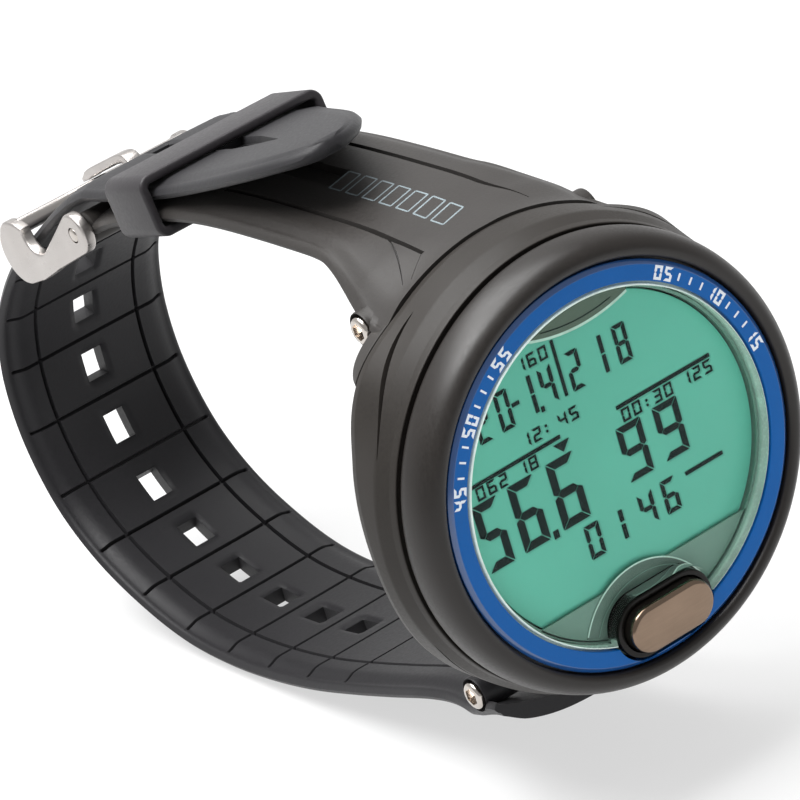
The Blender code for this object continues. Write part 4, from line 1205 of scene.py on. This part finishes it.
def make_buckle():
    depth, z = BUCKLE_PIVOT
    arms = []
    for hand in (1, -1):
        ends = sorted((hand * 13.2, hand * 14.9))
        arms.append(prism("arm", buckle_arm(), *ends, to_side, "steel", rim=0.38, steps=4, body=None))
    lean = Matrix.Rotation(math.radians(-30), 2)
    bar_outline = []
    for u, v in fillet([(1.7, 1.0), (-1.7, 1.0), (-1.7, -1.0), (1.7, -1.0)], 0.7, 5):
        point = lean @ Vector((u, v))
        bar_outline.append((BUCKLE_BAR[0] + point.x, BUCKLE_BAR[1] + point.y))
    cross_bar = prism("bar", bar_outline, -13.7, 13.7, to_side, "steel", body=None)
    frame_piece = arms[0]
    frame_piece.name = "buckle_frame_rounded"
    join(frame_piece, cross_bar, arms[1])
    cut(frame_piece, bore_along_x(1.1))
    dress(frame_piece, "buckle", ["buckle_frame"])
    rod(
        "buckle_pin_riveted",
        [(-15.05, 0.5), (-15.0, 0.75), (-14.85, 0.95), (-14.7, 1.0), (14.7, 1.0), (14.85, 0.95), (15.0, 0.75),
         (15.05, 0.5)],
        depth, z, "polished", body="buckle", slot="steel", replaces=["buckle_pin"],
    )
    middle = [BUCKLE_PIVOT, (93.6, 20.7), (95.4, 21.3), (96.6, 22.9), (98.0, 24.4), (100.2, 24.1),
              (103.8, 22.7), (109.0, 20.6), (111.6, 19.1)]
    path = Line(middle)
    left, right = [], []
    for step in range(41):
        length = path.total * step / 40
        u, v = path.at(length)
        along = path.direction(length)
        half = 0.65 if step < 38 else 0.65 - 0.12 * (step - 37)
        if length > 2.0:
            left.append((u - along[1] * half, v + along[0] * half))
            right.append((u + along[1] * half, v - along[0] * half))
    eye = arc(BUCKLE_PIVOT, 2.0, -40, -325, 30)
    outline = eye + left + list(reversed(right))
    tongue = prism("buckle_tongue_formed", outline, -1.1, 1.1, to_side, "steel", rim=0.25, body=None)
    hole = rod("hole", [(-5, 1.12), (5, 1.12)], depth, z)
    cut(tongue, hole)
    dress(tongue, "tongue", ["buckle_tongue"])


def hexagon(radius):
    angles = [math.radians(60 * k + 30) for k in range(6)]
    return [(radius * math.cos(angle), radius * math.sin(angle)) for angle in angles]


def make_pins():
    for side, label in ((1, "12"), (-1, "6")):
        z = BACK_Z + side * PIN_REACH
        key = [(PIN_DEPTH + u, z + v) for u, v in hexagon(1.15)]
        pin = [(-18.0, 1.25), (-17.95, 1.5), (-17.8, 1.72), (-17.6, 1.8), (-16.5, 1.8), (-16.5, 1.1), (16.2, 1.1)]
        screw = [(16.5, 0.5), (16.5, 1.8), (17.6, 1.8), (17.8, 1.72), (17.95, 1.5), (18.0, 1.25)]
        for kind, profile, key_from, key_to in (("pin", pin, -20, -16.9), ("screw", screw, 16.9, 20)):
            node = f"lug_{kind}_{label}"
            part = rod(f"{node}_turned", profile, PIN_DEPTH, z, "polished", slot="steel", replaces=[node])
            cut(part, prism("key", key, key_from, key_to, to_side))


# Back

def make_back():
    cover = turned("rear_cover_plate", fillet([
        (11.2, 17.6, 0), (11.2, 16.9, 0), (20.4, 16.9, 0), (20.4, 20.5, 0.25), (12.9, 20.5, 0.12), (12.9, 17.6, 0),
    ]), "shell", centre=(0, BACK_Z), segments=192, slot="case", replaces=["rear_cover"])
    hatch = turned("battery_cover_cap", fillet([
        (0, 20.5, 0), (0, 16.6, 0), (10.8, 16.6, 0), (10.8, 18.6, 0), (12.6, 18.6, 0), (12.6, 20.5, 0.25),
    ]), "chassis", centre=(0, BACK_Z), segments=192, body="battery_hatch", slot="chassis", replaces=["battery_cover"])
    holes = []
    for quarter in range(4):
        angle = math.radians(45 + 90 * quarter)
        holes.append((SCREW_RING * math.sin(angle), SCREW_RING * math.cos(angle), 1.1, 19.3))
        holes.append((SCREW_RING * math.sin(angle), SCREW_RING * math.cos(angle), 0.8, 16.0))
    holes.append((0, SENSOR_RING, 0.9, 16.0))
    angle = math.radians(225)
    holes.append((SENSOR_RING * math.sin(angle), SENSOR_RING * math.cos(angle), 1.0, 16.0))
    for x, z, radius, front in holes:
        outline = arc((x, BACK_Z + z), radius, 0, 345, 23)
        cut(cover, prism("hole", outline, front, 22, to_face))
    for side in (-1, 1):
        outline = arc((8.7 * side, BACK_Z), 1.25, 0, 345, 23)
        cut(hatch, prism("hole", outline, 19.1, 22, to_face))
    for number in range(4):
        angle = math.radians(45 + 90 * number)
        x, z = SCREW_RING * math.sin(angle), BACK_Z + SCREW_RING * math.cos(angle)
        screw = turned(f"rear_screw_{number + 1}_turned", fillet([
            (0, 20.3, 0), (0, 14.2, 0), (0.5, 14.2, 0), (0.5, 19.5, 0), (0.95, 19.5, 0), (0.95, 20.3, 0.15),
        ]), "steel", centre=(x, z), segments=48, slot="steel", replaces=[f"rear_cover_screw_{number + 1}"])
        slot_box = [(x - 1.5, z - 0.14), (x + 1.5, z - 0.14), (x + 1.5, z + 0.14), (x - 1.5, z + 0.14)]
        cut(screw, prism("slot", slot_box, 20.0, 22, to_face))


def dress_cad():
    """Materials for the CAD nodes that show, or are opened up, as they are."""
    for row in frame["record"]["subparts"]:
        node = frame["nodes"][row["node"]]
        slot_name = row["material_slot"]
        material = MATERIALS["shell" if slot_name == "case" else slot_name]
        if not node.material_slots:
            node.data.materials.append(material)
        for slot in node.material_slots:
            slot.material = material


# Studio

def make_studio():
    floor_z = cad_box[0].z
    points, faces = [], []
    size, rows = 3.0, 24
    profile = [(-size, 0.0), (0.9, 0.0)]
    for step in range(1, rows + 1):
        turn = math.pi / 2 * step / rows
        profile.append((0.9 + 0.6 * math.sin(turn), 0.6 * (1 - math.cos(turn))))
    profile.append((1.5, 3.0))
    for x in (-size, size):
        points += [(x, y, floor_z + z) for y, z in profile]
    count = len(profile)
    for index in range(count - 1):
        faces.append((index, index + 1, count + index + 1, count + index))
    mesh = bpy.data.meshes.new("studio_floor")
    mesh.from_pydata(points, [], faces)
    mesh.shade_smooth()
    floor = bpy.data.objects.new("studio_floor", mesh)
    bpy.context.scene.collection.objects.link(floor)
    mesh.materials.append(surface(
        "studio_paper", (0.26, 0.26, 0.26), 0.8, blotch=0.01, grain=0.01, bump=0.02, Specular_IOR_Level=0.0,
        Emission_Color=(1, 1, 1, 1), Emission_Strength=0.62,
    ))

    world = bpy.data.worlds.new("studio")
    bpy.context.scene.world = world
    world.use_nodes = True
    world.node_tree.nodes["Background"].inputs["Color"].default_value = (1, 1, 1, 1)
    world.node_tree.nodes["Background"].inputs["Strength"].default_value = 0.45

    def lamp(name, location, target, size, power):
        light = bpy.data.lights.new(name, "AREA")
        light.shape = "RECTANGLE"
        light.size, light.size_y = size
        light.energy = power
        obj = bpy.data.objects.new(name, light)
        obj.location = location
        obj.rotation_euler = (Vector(target) - Vector(location)).to_track_quat("-Z", "Y").to_euler()
        bpy.context.scene.collection.objects.link(obj)

    lamp("key", (-0.35, -0.05, 0.75), (0, 0.03, 0), (0.3, 0.3), 3.0)
    lamp("top", (-0.10, 0.18, 0.85), (0, 0.04, 0), (0.9, 0.8), 17.0)

    camera = bpy.data.cameras.new("camera")
    camera.lens = 225
    camera.sensor_width = 36
    camera.clip_start, camera.clip_end = 0.05, 20
    obj = bpy.data.objects.new("camera", camera)
    bpy.context.scene.collection.objects.link(obj)
    obj.matrix_world = Matrix((
        (0.7796, 0.4417, -0.444, -0.2794),
        (-0.565, 0.1902, -0.8028, -0.4786),
        (-0.2702, 0.8767, 0.3979, 0.2515),
        (0, 0, 0, 1),
    ))
    bpy.context.scene.camera = obj


make_case()
make_front()
make_display()
make_figures()
make_ring_marks()
make_button()
make_short_strap()
make_print(Line(SHORT_PATH))
make_wings()
make_long_strap()
make_keeper()
make_buckle()
make_pins()
make_back()
dress_cad()
make_studio()
